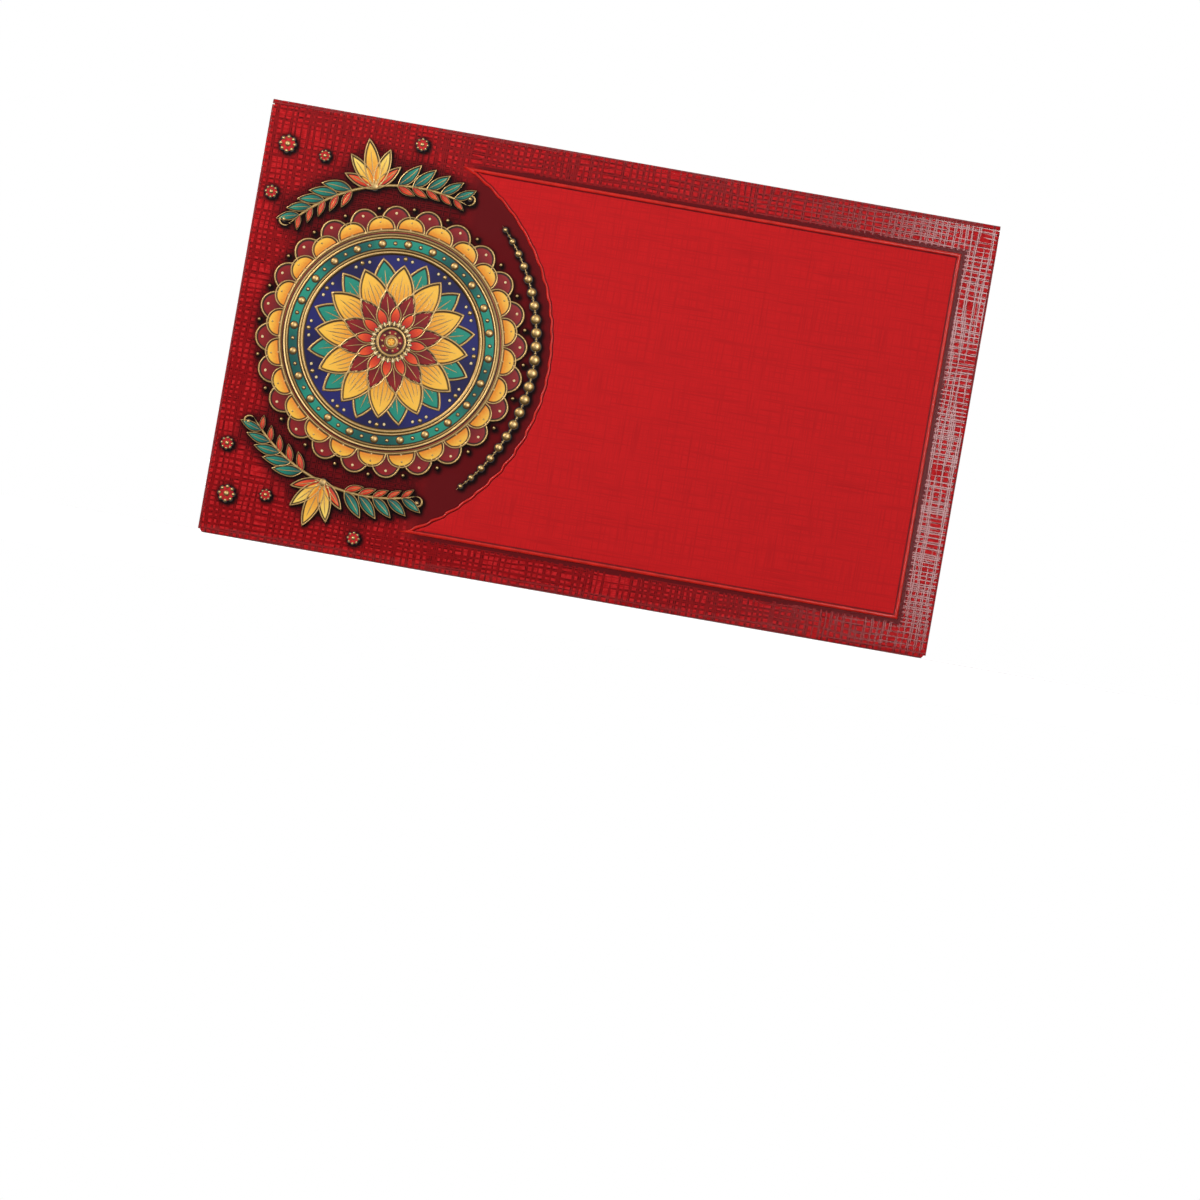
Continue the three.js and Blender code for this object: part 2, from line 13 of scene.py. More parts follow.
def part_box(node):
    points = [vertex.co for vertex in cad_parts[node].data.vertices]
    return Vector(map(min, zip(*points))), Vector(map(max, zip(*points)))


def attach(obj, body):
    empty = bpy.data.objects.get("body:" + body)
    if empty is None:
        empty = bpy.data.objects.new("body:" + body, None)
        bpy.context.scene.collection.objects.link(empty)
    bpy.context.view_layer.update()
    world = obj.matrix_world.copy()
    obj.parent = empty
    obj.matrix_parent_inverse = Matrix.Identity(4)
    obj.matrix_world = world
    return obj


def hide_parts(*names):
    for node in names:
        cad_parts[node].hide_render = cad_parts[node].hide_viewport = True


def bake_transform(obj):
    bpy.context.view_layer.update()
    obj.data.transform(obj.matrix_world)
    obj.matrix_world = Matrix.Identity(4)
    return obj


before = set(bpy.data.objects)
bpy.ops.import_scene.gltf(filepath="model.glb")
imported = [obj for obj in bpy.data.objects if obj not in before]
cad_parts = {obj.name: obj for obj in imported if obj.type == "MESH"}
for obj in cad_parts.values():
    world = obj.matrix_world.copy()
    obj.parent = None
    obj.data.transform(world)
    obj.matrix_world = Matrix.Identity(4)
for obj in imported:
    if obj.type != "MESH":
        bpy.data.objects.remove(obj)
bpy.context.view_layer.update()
mm = 0.001
print("frame loaded:", len(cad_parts), "nodes")


def span(node, axis):
    low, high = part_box(node)
    return low[axis] / mm, high[axis] / mm


def polar(radius, angle, centre=(0.0, 0.0)):
    return (centre[0] + radius * math.cos(angle), centre[1] + radius * math.sin(angle))


def unit(value):
    return min(1.0, max(0.0, value))


# layers of card and the lines where they fold, read from the frame
frontFace, frontInside = span("front_panel", 1)
sideFlapFront, sideFlapRear = span("left_side_flap", 1)
backFront, backRear = span("back_panel", 1)
flapFront, flapRear = span("closing_flap", 1)
panelHalf = span("front_panel", 0)[1]
bottomLine, topLine = span("front_panel", 2)
envelopeHalf = span("right_side_fold", 0)[1]
envelopeHeight = span("top_fold", 2)[1]
card = frontInside - frontFace
topRadius = (flapRear - frontFace) / 2
bottomRadius = (backRear - frontFace) / 2
sideRadius = (sideFlapRear - frontFace) / 2


# Front field: three straight sides and a wavy arc that bulges into it
frontCut = {
    "border": 8.6,
    "arcTipInset": 49.5,
    "arcBulge": 29.7,
    "wavePitch": 6.0,
    "waveDepth": 0.62,
    "calm": 0.35,  # share of the wave that is left at the upper end
    "waveSteps": 22,
    "teethPerWave": 1.35,
    "teethDrift": (0.3, 11.3),  # how far the teeth wander, and how often
    "leastTooth": 0.5,
    "tipBlend": 12.0,
}
arcChord = envelopeHeight - 2 * frontCut["border"]
arcRadius = (arcChord ** 2 / 4 + frontCut["arcBulge"] ** 2) / (2 * frontCut["arcBulge"])
arcCentre = (
    frontCut["arcTipInset"] + frontCut["arcBulge"] - arcRadius - envelopeHalf,
    envelopeHeight / 2,
)
arcHalfAngle = 2 * math.atan(2 * frontCut["arcBulge"] / arcChord)
fieldSides = (
    frontCut["arcTipInset"] - envelopeHalf,
    envelopeHalf - frontCut["border"],
    frontCut["border"],
    envelopeHeight - frontCut["border"],
)


# Camera: square on to the front, rolled as the envelope lies in the picture
shot = {
    "lens": 135.0,
    "sensor": 36.0,
    "frameWidth": 300.3,  # how much of the front plane the picture spans
    "roll": 9.97,  # degrees
    "aimRight": 0.2,  # middle of the picture, from the middle of the envelope
    "aimDown": 55.4,
}


def makeCamera():
    roll = math.radians(shot["roll"])
    right = Vector((math.cos(roll), 0, math.sin(roll)))
    up = Vector((-math.sin(roll), 0, math.cos(roll)))
    middle = Vector((0, frontFace, envelopeHeight / 2))
    target = middle + right * shot["aimRight"] - up * shot["aimDown"]
    distance = shot["frameWidth"] * shot["lens"] / shot["sensor"]
    back = Vector((0, -1, 0))
    data = bpy.data.cameras.new("camera")
    data.lens = shot["lens"]
    data.sensor_width = shot["sensor"]
    data.clip_start = 0.05
    data.clip_end = 20
    camera = bpy.data.objects.new("camera", data)
    bpy.context.scene.collection.objects.link(camera)
    turn = Matrix((right, up, back)).transposed().to_4x4()
    camera.matrix_world = Matrix.Translation((target + back * distance) * mm) @ turn
    bpy.context.scene.camera = camera


makeCamera()
print("camera placed")


# Shader tools
def plug(tree, value, socket):
    if isinstance(value, bpy.types.NodeSocket):
        tree.links.new(value, socket)
    else:
        socket.default_value = value


def node(tree, kind, sockets=None, **settings):
    made = tree.nodes.new(kind)
    for name, value in settings.items():
        setattr(made, name, value)
    for name, value in (sockets or {}).items():
        plug(tree, value, made.inputs[name])
    return made


def calc(tree, operation, *values):
    made = node(tree, "ShaderNodeMath", operation=operation)
    for value, socket in zip(values, made.inputs):
        plug(tree, value, socket)
    return made.outputs[0]


def fade(tree, value, start, end, low=0.0, high=1.0):
    sockets = {"Value": value, "From Min": start, "From Max": end, "To Min": low, "To Max": high}
    made = node(tree, "ShaderNodeMapRange", sockets, interpolation_type="SMOOTHSTEP")
    return made.outputs["Result"]


def mixed(tree, factor, first, second):
    made = node(tree, "ShaderNodeMix", data_type="RGBA")
    for value, socket in ((factor, 0), (first, 6), (second, 7)):
        plug(tree, value, made.inputs[socket])
    return made.outputs[2]


def vectorOf(tree, x, y, z=0.0):
    return node(tree, "ShaderNodeCombineXYZ", {"X": x, "Y": y, "Z": z}).outputs[0]


def noiseAt(tree, vector, scale=1.0, detail=2.0, rough=0.5):
    sockets = {"Vector": vector, "Scale": scale, "Detail": detail, "Roughness": rough}
    return node(tree, "ShaderNodeTexNoise", sockets).outputs[0]


def stored(tree, name):
    # x, y and z of a value that is stored on the mesh points
    read = node(tree, "ShaderNodeAttribute", attribute_name=name)
    return node(tree, "ShaderNodeSeparateXYZ", {"Vector": read.outputs["Vector"]}).outputs


def ink(code):
    # a screen colour, written in hexadecimal, as linear light
    parts = [int(code[i:i + 2], 16) / 255 for i in (0, 2, 4)]
    light = [p / 12.92 if p <= 0.04045 else ((p + 0.055) / 1.055) ** 2.4 for p in parts]
    return (*light, 1.0)


def newFinish(name, rough, metal=0.0, specular=0.5):
    material = bpy.data.materials.new(name)
    material.use_nodes = True
    shader = material.node_tree.nodes["Principled BSDF"]
    shader.inputs["Metallic"].default_value = metal
    shader.inputs["Specular IOR Level"].default_value = specular
    plug(material.node_tree, rough, shader.inputs["Roughness"])
    return material, material.node_tree, shader


def addBump(tree, shader, height, distance, strength=1.0):
    sockets = {"Height": height, "Distance": distance * mm, "Strength": strength}
    made = node(tree, "ShaderNodeBump", sockets)
    tree.links.new(made.outputs["Normal"], shader.inputs["Normal"])


# Varnished print: a cloth-like weave of raised gloss threads, with matte cells between them
varnish = {
    "cell": "ca2226",
    "deepCell": "a80f15",
    "crest": "8c080e",
    "hollow": "440106",  # between two threads
    "band": "600e13",  # plain band along the straight sides of the front field
    "bandWidth": 1.35,
    "halo": "660a10",  # printed shade round the ornament
    "deepHalo": "2c0407",
    "shadow": "0e0203",  # printed shadow close under it
    "groups": (1.65, 1.35),  # from group to group, upright and level
    "run": 20.0,
    "pitch": 0.5,  # from thread to thread
    "drift": 0.35,
    "swayOfGroups": (6.0, 1.9),  # pitch of the noise that bends a row of groups, and how far
    "oddGroups": (1.7, 0.7, 1.5),  # pitch, share of the run, weight
    "evenGroups": 0.6,  # weight of the even rhythm beside the odd one
    "groupEdge": 0.16,
    "swayOfThreads": (3.0, 14.0, 1.2),  # pitch, run, and how far
    "threadSides": (0.2, 0.55),
    "patchScale": 0.085,
    "patchShares": (0.36, 0.64, 0.34, 0.16),  # noise from and to, threshold from open to dense
    "crossing": (0.3, 0.6, 0.55, 0.25),  # the same for the faint threads in the open cells
    "unevenScale": 0.9,
    "threadHeight": 0.03,
    "threadGloss": 0.8,
    "bandGloss": 0.07,
    "cellRough": 0.5,
    "coatRough": 0.12,
    "specular": 0.05,
}


def drifted(tree, size):
    # the sheet's own coordinates, pushed about a little so that no thread is dead straight
    u, v, _ = stored(tree, "sheet")
    slow = vectorOf(tree, calc(tree, "MULTIPLY", u, 0.05), calc(tree, "MULTIPLY", v, 0.05), 3.0)
    pushU = calc(tree, "MULTIPLY", calc(tree, "SUBTRACT", noiseAt(tree, slow, 1.0), 0.5), size)
    pushV = calc(tree, "MULTIPLY", calc(tree, "SUBTRACT", noiseAt(tree, slow, 1.7), 0.5), size)
    return calc(tree, "ADD", u, pushU), calc(tree, "ADD", v, pushV)


def streaks(tree, across, along, pitch, run, seed, detail=1.0):
    # long narrow streaks, as uneven as hand-spun thread
    across, along = calc(tree, "DIVIDE", across, pitch), calc(tree, "DIVIDE", along, run)
    place = vectorOf(tree, across, along, seed)
    return noiseAt(tree, place, detail=detail, rough=0.5)


def wave(tree, across, pitch, sway, swing):
    # evenly spaced crests, from 0 to 1, that sway from side to side
    turns = calc(tree, "MULTIPLY_ADD", sway, swing, calc(tree, "DIVIDE", across, pitch))
    height = calc(tree, "COSINE", calc(tree, "MULTIPLY", turns, 2 * math.pi))
    return calc(tree, "MULTIPLY_ADD", height, 0.5, 0.5)


def threadGroups(tree, across, along, spacing, low, seed):
    # how far a point lies in a group of threads, and how high it lies on a thread
    pitch, swing = varnish["swayOfGroups"]
    beat = wave(tree, across, spacing, streaks(tree, across, along, pitch, varnish["run"], seed), swing)
    pitch, share, weight = varnish["oddGroups"]
    odd = streaks(tree, across, along, pitch, share * varnish["run"], seed + 5.1, 2.0)
    odd = calc(tree, "SUBTRACT", odd, 0.5)
    height = calc(tree, "MULTIPLY_ADD", odd, weight, calc(tree, "MULTIPLY", beat, varnish["evenGroups"]))
    inGroup = fade(tree, height, low, calc(tree, "ADD", low, varnish["groupEdge"]))
    pitch, run, swing = varnish["swayOfThreads"]
    crest = wave(tree, across, varnish["pitch"], streaks(tree, across, along, pitch, run, seed + 3.7), swing)
    return inGroup, fade(tree, crest, *varnish["threadSides"])


def varnishedPrint(name, isFront):
    material, tree, shader = newFinish(name, varnish["cellRough"], specular=varnish["specular"])
    u, v = drifted(tree, varnish["drift"])
    # dense and open patches
    patch = noiseAt(tree, vectorOf(tree, u, v, 9.0), varnish["patchScale"], 2.0)
    low = fade(tree, patch, *varnish["patchShares"])
    upright, uprightCrest = threadGroups(tree, u, v, varnish["groups"][0], low, 0.0)
    level, levelCrest = threadGroups(tree, v, u, varnish["groups"][1], low, 11.3)
    woven = calc(tree, "MAXIMUM", upright, level)
    raised = [calc(tree, "MULTIPLY", *pair) for pair in ((upright, uprightCrest), (level, levelCrest))]
    crests = calc(tree, "MAXIMUM", *raised)
    # faint threads that cross the open cells
    crossing = calc(tree, "MULTIPLY", levelCrest, fade(tree, patch, *varnish["crossing"]))
    if isFront:
        left, right, foot, head = fieldSides
        beyondRight = calc(tree, "SUBTRACT", u, right)
        beyondEnds = calc(tree, "MAXIMUM", calc(tree, "SUBTRACT", v, head), calc(tree, "SUBTRACT", foot, v))
        away = calc(tree, "MAXIMUM", beyondRight, beyondEnds)
        ragged = calc(tree, "MULTIPLY_ADD", calc(tree, "SUBTRACT", woven, 0.5), 0.5, away)
        band = fade(tree, ragged, varnish["bandWidth"], varnish["bandWidth"] - 0.3)
        band = calc(tree, "MULTIPLY", band, fade(tree, u, left - 2, left + 6))
        free = calc(tree, "SUBTRACT", 1.0, band)
        woven, crests, crossing = [calc(tree, "MULTIPLY", part, free) for part in (woven, crests, crossing)]
    uneven = noiseAt(tree, vectorOf(tree, u, v, 30.0), varnish["unevenScale"], 2.0, 0.6)
    hollow = mixed(tree, fade(tree, uneven, 0.35, 0.62), ink(varnish["hollow"]), ink(varnish["crest"]))
    cell = mixed(tree, fade(tree, uneven, 0.35, 0.7), ink(varnish["cell"]), ink(varnish["deepCell"]))
    colour = mixed(tree, calc(tree, "MULTIPLY", crossing, 0.6), cell, ink(varnish["crest"]))
    colour = mixed(tree, woven, colour, mixed(tree, crests, hollow, ink(varnish["crest"])))
    gloss = calc(tree, "MULTIPLY", crests, varnish["threadGloss"])
    if isFront:
        colour = mixed(tree, band, colour, ink(varnish["band"]))
        gloss = calc(tree, "MULTIPLY_ADD", band, varnish["bandGloss"], gloss)
        shadow, shade, _ = stored(tree, "paint")
        lit = calc(tree, "MAXIMUM", crests, calc(tree, "SUBTRACT", 1.0, woven))
        lit = calc(tree, "MULTIPLY", lit, 0.8)
        tinted = mixed(tree, lit, ink(varnish["deepHalo"]), ink(varnish["halo"]))
        colour = mixed(tree, shade, colour, tinted)
        colour = mixed(tree, shadow, colour, ink(varnish["shadow"]))
        gloss = calc(tree, "MULTIPLY", gloss, fade(tree, shade, 0.0, 1.0, 1.0, 0.45))
    tree.links.new(colour, shader.inputs["Base Color"])
    plug(tree, gloss, shader.inputs["Coat Weight"])
    shader.inputs["Coat Roughness"].default_value = varnish["coatRough"]
    height = calc(tree, "MULTIPLY_ADD", woven, 0.35, calc(tree, "MULTIPLY", crests, 0.65))
    height = calc(tree, "MULTIPLY_ADD", crossing, 0.25, height)
    addBump(tree, shader, height, varnish["threadHeight"])
    return material


def weaveOf(tree, u, v, pitch, run, seed, low, high):
    upright = streaks(tree, u, v, pitch, run, seed, 2.0)
    level = streaks(tree, v, u, pitch, run, seed + 7.3, 2.0)
    return calc(tree, "MAXIMUM", fade(tree, upright, low, high), fade(tree, level, low, high))


# Matte field: bright red print with a faint linen weave
fieldLook = {
    "red": "c81317",
    "weave": "9c0910",
    "fine": (0.4, 12.0, 0.36, 0.8, 0.5),  # pitch, run, threshold, its top, share
    "slub": (0.8, 60.0, 0.6, 0.78, 0.16),
    "rough": 0.6,
    "grain": 0.01,
}


def fieldPrint(name):
    material, tree, shader = newFinish(name, fieldLook["rough"], specular=0.12)
    u, v = drifted(tree, 0.2)
    weave = 0.0
    for kind, seed in (("fine", 60.0), ("slub", 80.0)):
        pitch, run, low, high, share = fieldLook[kind]
        weave = calc(tree, "MULTIPLY_ADD", weaveOf(tree, u, v, pitch, run, seed, low, high), share, weave)
    colour = mixed(tree, weave, ink(fieldLook["red"]), ink(fieldLook["weave"]))
    tree.links.new(colour, shader.inputs["Base Color"])
    grain = noiseAt(tree, vectorOf(tree, u, v), 5.0, 3.0, 0.6)
    addBump(tree, shader, calc(tree, "ADD", grain, weave), fieldLook["grain"])
    return material


def plainPrint(name, code, rough, grain=0.01, specular=0.5, coat=0.0):
    # an even ink with a little cloud and grain in it
    material, tree, shader = newFinish(name, rough, specular=specular)
    shader.inputs["Coat Weight"].default_value = coat
    shader.inputs["Coat Roughness"].default_value = 0.14
    u, v, _ = stored(tree, "sheet")
    place = vectorOf(tree, u, v)
    cloud = noiseAt(tree, place, 0.35, 3.0, 0.6)
    deep = [c * 0.72 for c in ink(code)[:3]] + [1.0]
    colour = mixed(tree, fade(tree, cloud, 0.3, 0.75), ink(code), deep)
    tree.links.new(colour, shader.inputs["Base Color"])
    addBump(tree, shader, noiseAt(tree, place, 4.0, 3.0, 0.6), grain)
    return material


def bareCard(name, code, fleck, stain=None):
    # uncoated card with fibres, and ink carried over it in places where it has been cut
    material, tree, shader = newFinish(name, 0.85, specular=0.2)
    u, v, _ = stored(tree, "sheet")
    fibres = noiseAt(tree, vectorOf(tree, calc(tree, "MULTIPLY", u, 0.4), v), 3.0, 5.0, 0.7)
    colour = mixed(tree, fade(tree, fibres, 0.35, 0.7), ink(code), ink(fleck))
    if stain:
        carried = noiseAt(tree, vectorOf(tree, u, v, 4.0), 0.45, 4.0, 0.65)
        colour = mixed(tree, fade(tree, carried, 0.48, 0.56), colour, ink(stain))
    tree.links.new(colour, shader.inputs["Base Color"])
    addBump(tree, shader, fibres, 0.02)
    return material


# Foil and enamel of the ornament, with painted shade and painted highlights on their relief
# foot is painted shade at the feet of the raised lines, body the foil's own colour, crown a painted highlight
# on their tops
foil = {
    "foot": "4a3212",
    "body": "94713c",
    "crown": "d6b880",
    "rough": 0.34,
}


def goldFoil(name):
    material, tree, shader = newFinish(name, foil["rough"], metal=0.72)
    edge, _, _ = stored(tree, "paint")
    u, v, _ = stored(tree, "sheet")
    grain = noiseAt(tree, vectorOf(tree, u, v), 3.2, 4.0, 0.65)
    # the stored tone runs from the foot of a raised line to its crown: painted shade low down, painted
    # highlight on top
    shade = calc(tree, "ADD", edge, calc(tree, "MULTIPLY", calc(tree, "SUBTRACT", grain, 0.5), 0.5))
    colour = mixed(tree, fade(tree, shade, 0.02, 0.42), ink(foil["foot"]), ink(foil["body"]))
    colour = mixed(tree, fade(tree, shade, 0.72, 1.12), colour, ink(foil["crown"]))
    tree.links.new(colour, shader.inputs["Base Color"])
    addBump(tree, shader, grain, 0.012)
    return material


def enamel(name, rootCode, tipCode):
    # ink fill that runs from one tone at the root to another at the tip, with a dark line along its outline
    # that is partly printed outline and partly painted shade where the fill meets the raised rim
    material, tree, shader = newFinish(name, 0.38, specular=0.28)
    edge, along, seed = stored(tree, "paint")
    u, v, _ = stored(tree, "sheet")
    grain = noiseAt(tree, vectorOf(tree, u, v, seed), 2.2, 4.0, 0.6)
    reach = calc(tree, "ADD", along, calc(tree, "MULTIPLY", calc(tree, "SUBTRACT", grain, 0.5), 0.35))
    colour = mixed(tree, fade(tree, reach, 0.1, 0.85), ink(rootCode), ink(tipCode))
    # printed outline and painted shade: dark where the tone is low, at the fill's rim
    colour = mixed(tree, fade(tree, edge, 0.45, 0.0), colour, ink("1d0a0a"))
    tree.links.new(colour, shader.inputs["Base Color"])
    addBump(tree, shader, grain, 0.012)
    return material


finishes = {
    "varnished": varnishedPrint("varnished_print", False),
    "haloed": varnishedPrint("varnished_print_with_halo", True),
    "field": fieldPrint("matte_field_print"),
    "bead": plainPrint("bead_gloss", "cf1d10", 0.4, specular=0.12, coat=0.4),
    # painted shade: a dark line round the bevelled rim of each printed face
    "crushed": plainPrint("crushed_rim", "5c060c", 0.5, specular=0.1),
    "lip": plainPrint("slit_lip_gloss", "a8161a", 0.35, specular=0.3, coat=0.7),
    # painted shade in the grooves on both sides of the bead
    "groove": plainPrint("bead_groove", "780810", 0.45, specular=0.15),
    "bare": bareCard("bare_card", "f3efe6", "e2dbcb"),
    "cut": bareCard("cut_card_edge", "efe2d8", "d9a79c", "8a4a40"),
    "glue": plainPrint("dried_glue", "e9e2c8", 0.35),
    "gold": goldFoil("gold_foil"),
    "dark": plainPrint("outline_ink", "150708", 0.45),
    "amber": enamel("amber_enamel", "e2801c", "f5be44"),
    "yellow": enamel("yellow_enamel", "e8a22c", "f6d464"),
    "orange": enamel("orange_enamel", "b81e12", "ea5424"),
    "maroon": enamel("maroon_enamel", "54060c", "8a1014"),
    "red": enamel("red_enamel", "a80c12", "c8161a"),
    "teal": enamel("teal_enamel", "0a524c", "1c8a74"),
    "navy": enamel("navy_enamel", "100c42", "1a1a62"),
    "cream": enamel("cream_enamel", "d8b060", "f8ecc0"),
}
print("finishes made:", len(finishes))


# Mesh tools. A bag gathers points, faces and what each carries, before it becomes a piece.
nearlyOne = 0.002  # points of a ring that are closer count as one


def newBag():
    return {"points": [], "faces": [], "finish": [], "sheet": [], "paint": []}


def addPoints(bag, points, sheet=None, paint=None):
    start = len(bag["points"])
    points = [tuple(p) for p in points]
    bag["points"] += points
    if sheet is None:
        sheet = [(p[0], p[2], 0.0) for p in points]
    if paint is None:
        paint = [(0.0, 0.0, 0.0)] * len(points)
    bag["sheet"] += [tuple(s) for s in sheet]
    bag["paint"] += [tuple(s) for s in paint]
    return start


def addFace(bag, corners, finish):
    bag["faces"].append(tuple(corners))
    bag["finish"].append(finish)


def bridge(bag, first, second, count, finish, closed=True):
    for i in range(count if closed else count - 1):
        j = (i + 1) % count
        addFace(bag, (first + i, first + j, second + j, second + i), finish)


def fillFlat(bag, loops, finish, extra=()):
    # triangles between an outer loop and its holes, through the extra points inside
    ids = [i for loop in loops for i in loop] + list(extra)
    flat = [Vector((bag["points"][i][0], bag["points"][i][2])) for i in ids]
    edges, start = [], 0
    for loop in loops:
        edges += [(start + k, start + (k + 1) % len(loop)) for k in range(len(loop))]
        start += len(loop)
    kind = 2 if len(loops) > 1 else 1
    made = delaunay_2d_cdt(flat, edges, [], kind, 1e-5)
    known = [ids[source[0]] if source else None for source in made[3]]
    depth = bag["points"][loops[0][0]][1]
    for k, source in enumerate(known):
        if source is None:
            x, z = made[0][k]
            known[k] = addPoints(bag, [(x, depth, z)], paint=[bag["paint"][loops[0][0]]])
    for face in made[2]:
        addFace(bag, [known[k] for k in face], finish)


def keptPoints(bag, start, count):
    # point numbers of a ring, without those that fell together
    numbers = []
    for i in range(start, start + count):
        if not numbers or math.dist(bag["points"][i], bag["points"][numbers[-1]]) > nearlyOne:
            numbers.append(i)
    return numbers


def merge(bag, other):
    start = len(bag["points"])
    for key in ("points", "sheet", "paint"):
        bag[key] += other[key]
    bag["faces"] += [tuple(start + i for i in face) for face in other["faces"]]
    bag["finish"] += other["finish"]


def makePiece(bag, name, nodes, body=None, smooth=38):
    mesh = bpy.data.meshes.new(name)
    mesh.from_pydata([Vector(p) * mm for p in bag["points"]], [], bag["faces"])
    kinds = sorted(set(bag["finish"]))
    for kind in kinds:
        mesh.materials.append(finishes[kind])
    mesh.polygons.foreach_set("material_index", [kinds.index(f) for f in bag["finish"]])
    for key in ("sheet", "paint"):
        layer = mesh.attributes.new(key, "FLOAT_VECTOR", "POINT")
        layer.data.foreach_set("vector", np.array(bag[key], np.float32).ravel())
    work = bmesh.new()
    work.from_mesh(mesh)
    bmesh.ops.remove_doubles(work, verts=work.verts, dist=0.0008 * mm)
    bmesh.ops.dissolve_degenerate(work, edges=work.edges, dist=0.0004 * mm)
    bmesh.ops.recalc_face_normals(work, faces=work.faces)
    work.to_mesh(mesh)
    work.free()
    mesh.shade_smooth()
    mesh.set_sharp_from_angle(angle=math.radians(smooth))
    piece = bpy.data.objects.new(name, mesh)
    bpy.context.scene.collection.objects.link(piece)
    if body:
        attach(piece, body)
    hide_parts(*nodes)
    return piece


# Outline tools: an outline is a list of x and z
def roundStretch(start, end, bulge, steps):
    # points after start on an arc, whose rise is a share of its chord
    start, end = np.array(start, float), np.array(end, float)
    chord = np.linalg.norm(end - start)
    rise = bulge * chord
    radius = (chord * chord / 4 + rise * rise) / (2 * rise)
    along = (end - start) / chord
    outward = np.array((along[1], -along[0]))
    halfAngle = 2 * math.atan(2 * bulge)
    points = []
    for i in range(1, steps + 1):
        angle = halfAngle * (2 * i / steps - 1)
        run = chord / 2 + radius * math.sin(angle)
        out = rise - radius * (1 - math.cos(angle))
        points.append(tuple(start + along * run + outward * out))
    return points


def bezier(controls, steps):
    a, b, c, d = [np.array(p, float) for p in controls]
    t = np.linspace(0, 1, steps + 1)[:, None]
    curve = (1 - t) ** 3 * a + 3 * (1 - t) ** 2 * t * b + 3 * (1 - t) * t ** 2 * c + t ** 3 * d
    return [tuple(p) for p in curve]


def clockwise(loop):
    x, z = np.array(loop, float).T
    area = np.sum(x * np.roll(z, -1) - np.roll(x, -1) * z)
    return list(loop) if area < 0 else list(loop)[::-1]


def distanceToLoop(points, loop):
    start = np.array(loop, float)
    run = np.roll(start, -1, 0) - start
    size = np.maximum((run ** 2).sum(1), 1e-12)
    away = np.array(points, float)[:, None, :] - start[None]
    t = np.clip((away * run).sum(2) / size, 0, 1)
    return np.sqrt(((away - t[..., None] * run) ** 2).sum(2)).min(1)


def insetLoop(loop, inset):
    # a clockwise loop drawn in, point for point; what a sharp corner swallows moves onto it
    here = np.array(loop, float)
    before, after = here - np.roll(here, 1, 0), np.roll(here, -1, 0) - here
    turn = np.arctan2(
        before[:, 0] * after[:, 1] - before[:, 1] * after[:, 0], (before * after).sum(1)
    )
    normal = np.arctan2(before[:, 1], before[:, 0]) + turn / 2 - math.pi / 2
    reach = inset / np.cos(turn / 2)
    moved = here + reach[:, None] * np.stack((np.cos(normal), np.sin(normal)), 1)
    corners = np.flatnonzero(turn < -0.6)
    if np.max(inset) > 0 and len(corners):
        swallowed = distanceToLoop(moved, here) < 0.97 * inset
        swallowed[corners] = False
        count = len(here)
        for i in np.flatnonzero(swallowed):
            gap = np.minimum((corners - i) % count, (i - corners) % count)
            moved[i] = moved[corners[gap.argmin()]]
    return [tuple(p) for p in moved]


# Sheets of card: a printed face with a bevelled rim that is darkened with painted shade, a white cut edge and a
# bare inner face
cutEdge = {
    # inset from the outline, share of the way through the card, finish of the stretch that ends here
    # the first step is steep, so that the flat face keeps its own shading
    # the first three stretches are the bevelled rim, coloured dark with painted shade
    "rows": [
        (0.28, 0.0, "crushed"),
        (0.22, 0.16, "crushed"),
        (0.17, 0.2, "crushed"),
        (0.02, 0.5, "cut"),
        (0.0, 0.8, "cut"),
        (0.03, 1.0, "cut"),
    ],
    "atFold": 0.15,  # what is left of the insets where a plate meets its crease
}


def cardPlate(
    bag, outline, printedY, bareY, sheetAt, printed="varnished", holes=(), inner=(), paintAt=None, folds=()
):
    # folds lists the points of the outline that lie on a crease
    through = bareY - printedY
    rows = [(inset, printedY + through * depth, finish) for inset, depth, finish in cutEdge["rows"]]
    caps = [[], []]
    for sign, loop in [(1, outline)] + [(-1, hole) for hole in holes]:
        loop = clockwise(loop)
        folded = [any(math.dist(p, q) < 0.001 for q in folds) for p in loop]
        narrowed = np.where(folded, cutEdge["atFold"], 1.0)
        starts = []
        for inset, y, _ in rows:
            ring = insetLoop(loop, sign * inset * narrowed) if inset else loop
            sheet = [sheetAt(x, z) for x, z in ring]
            paint = [paintAt(x, z) for x, z in ring] if paintAt else None
            starts.append(addPoints(bag, [(x, y, z) for x, z in ring], sheet, paint))
        for k in range(1, len(rows)):
            first = len(bag["finish"])
            bridge(bag, starts[k - 1], starts[k], len(loop), rows[k][2])
            for i in range(len(loop)):
                if folded[i] and folded[(i + 1) % len(loop)]:
                    bag["finish"][first + i] = printed
        for side, first in ((0, starts[0]), (1, starts[-1])):
            caps[side].append(list(range(first, first + len(loop))))
    extra = []
    if len(inner):
        sheet = [sheetAt(x, z) for x, z in inner]
        paint = [paintAt(x, z) for x, z in inner] if paintAt else None
        first = addPoints(bag, [(x, printedY, z) for x, z in inner], sheet, paint)
        extra = range(first, first + len(inner))
    fillFlat(bag, caps[0], printed, extra)
    fillFlat(bag, caps[1], "bare")


# Rolled creases: half a tube of card round a line, from the front layer to the rear one
creaseLook = {"steps": 16, "stations": 90, "unevenness": 0.012, "endSoft": 0.25}


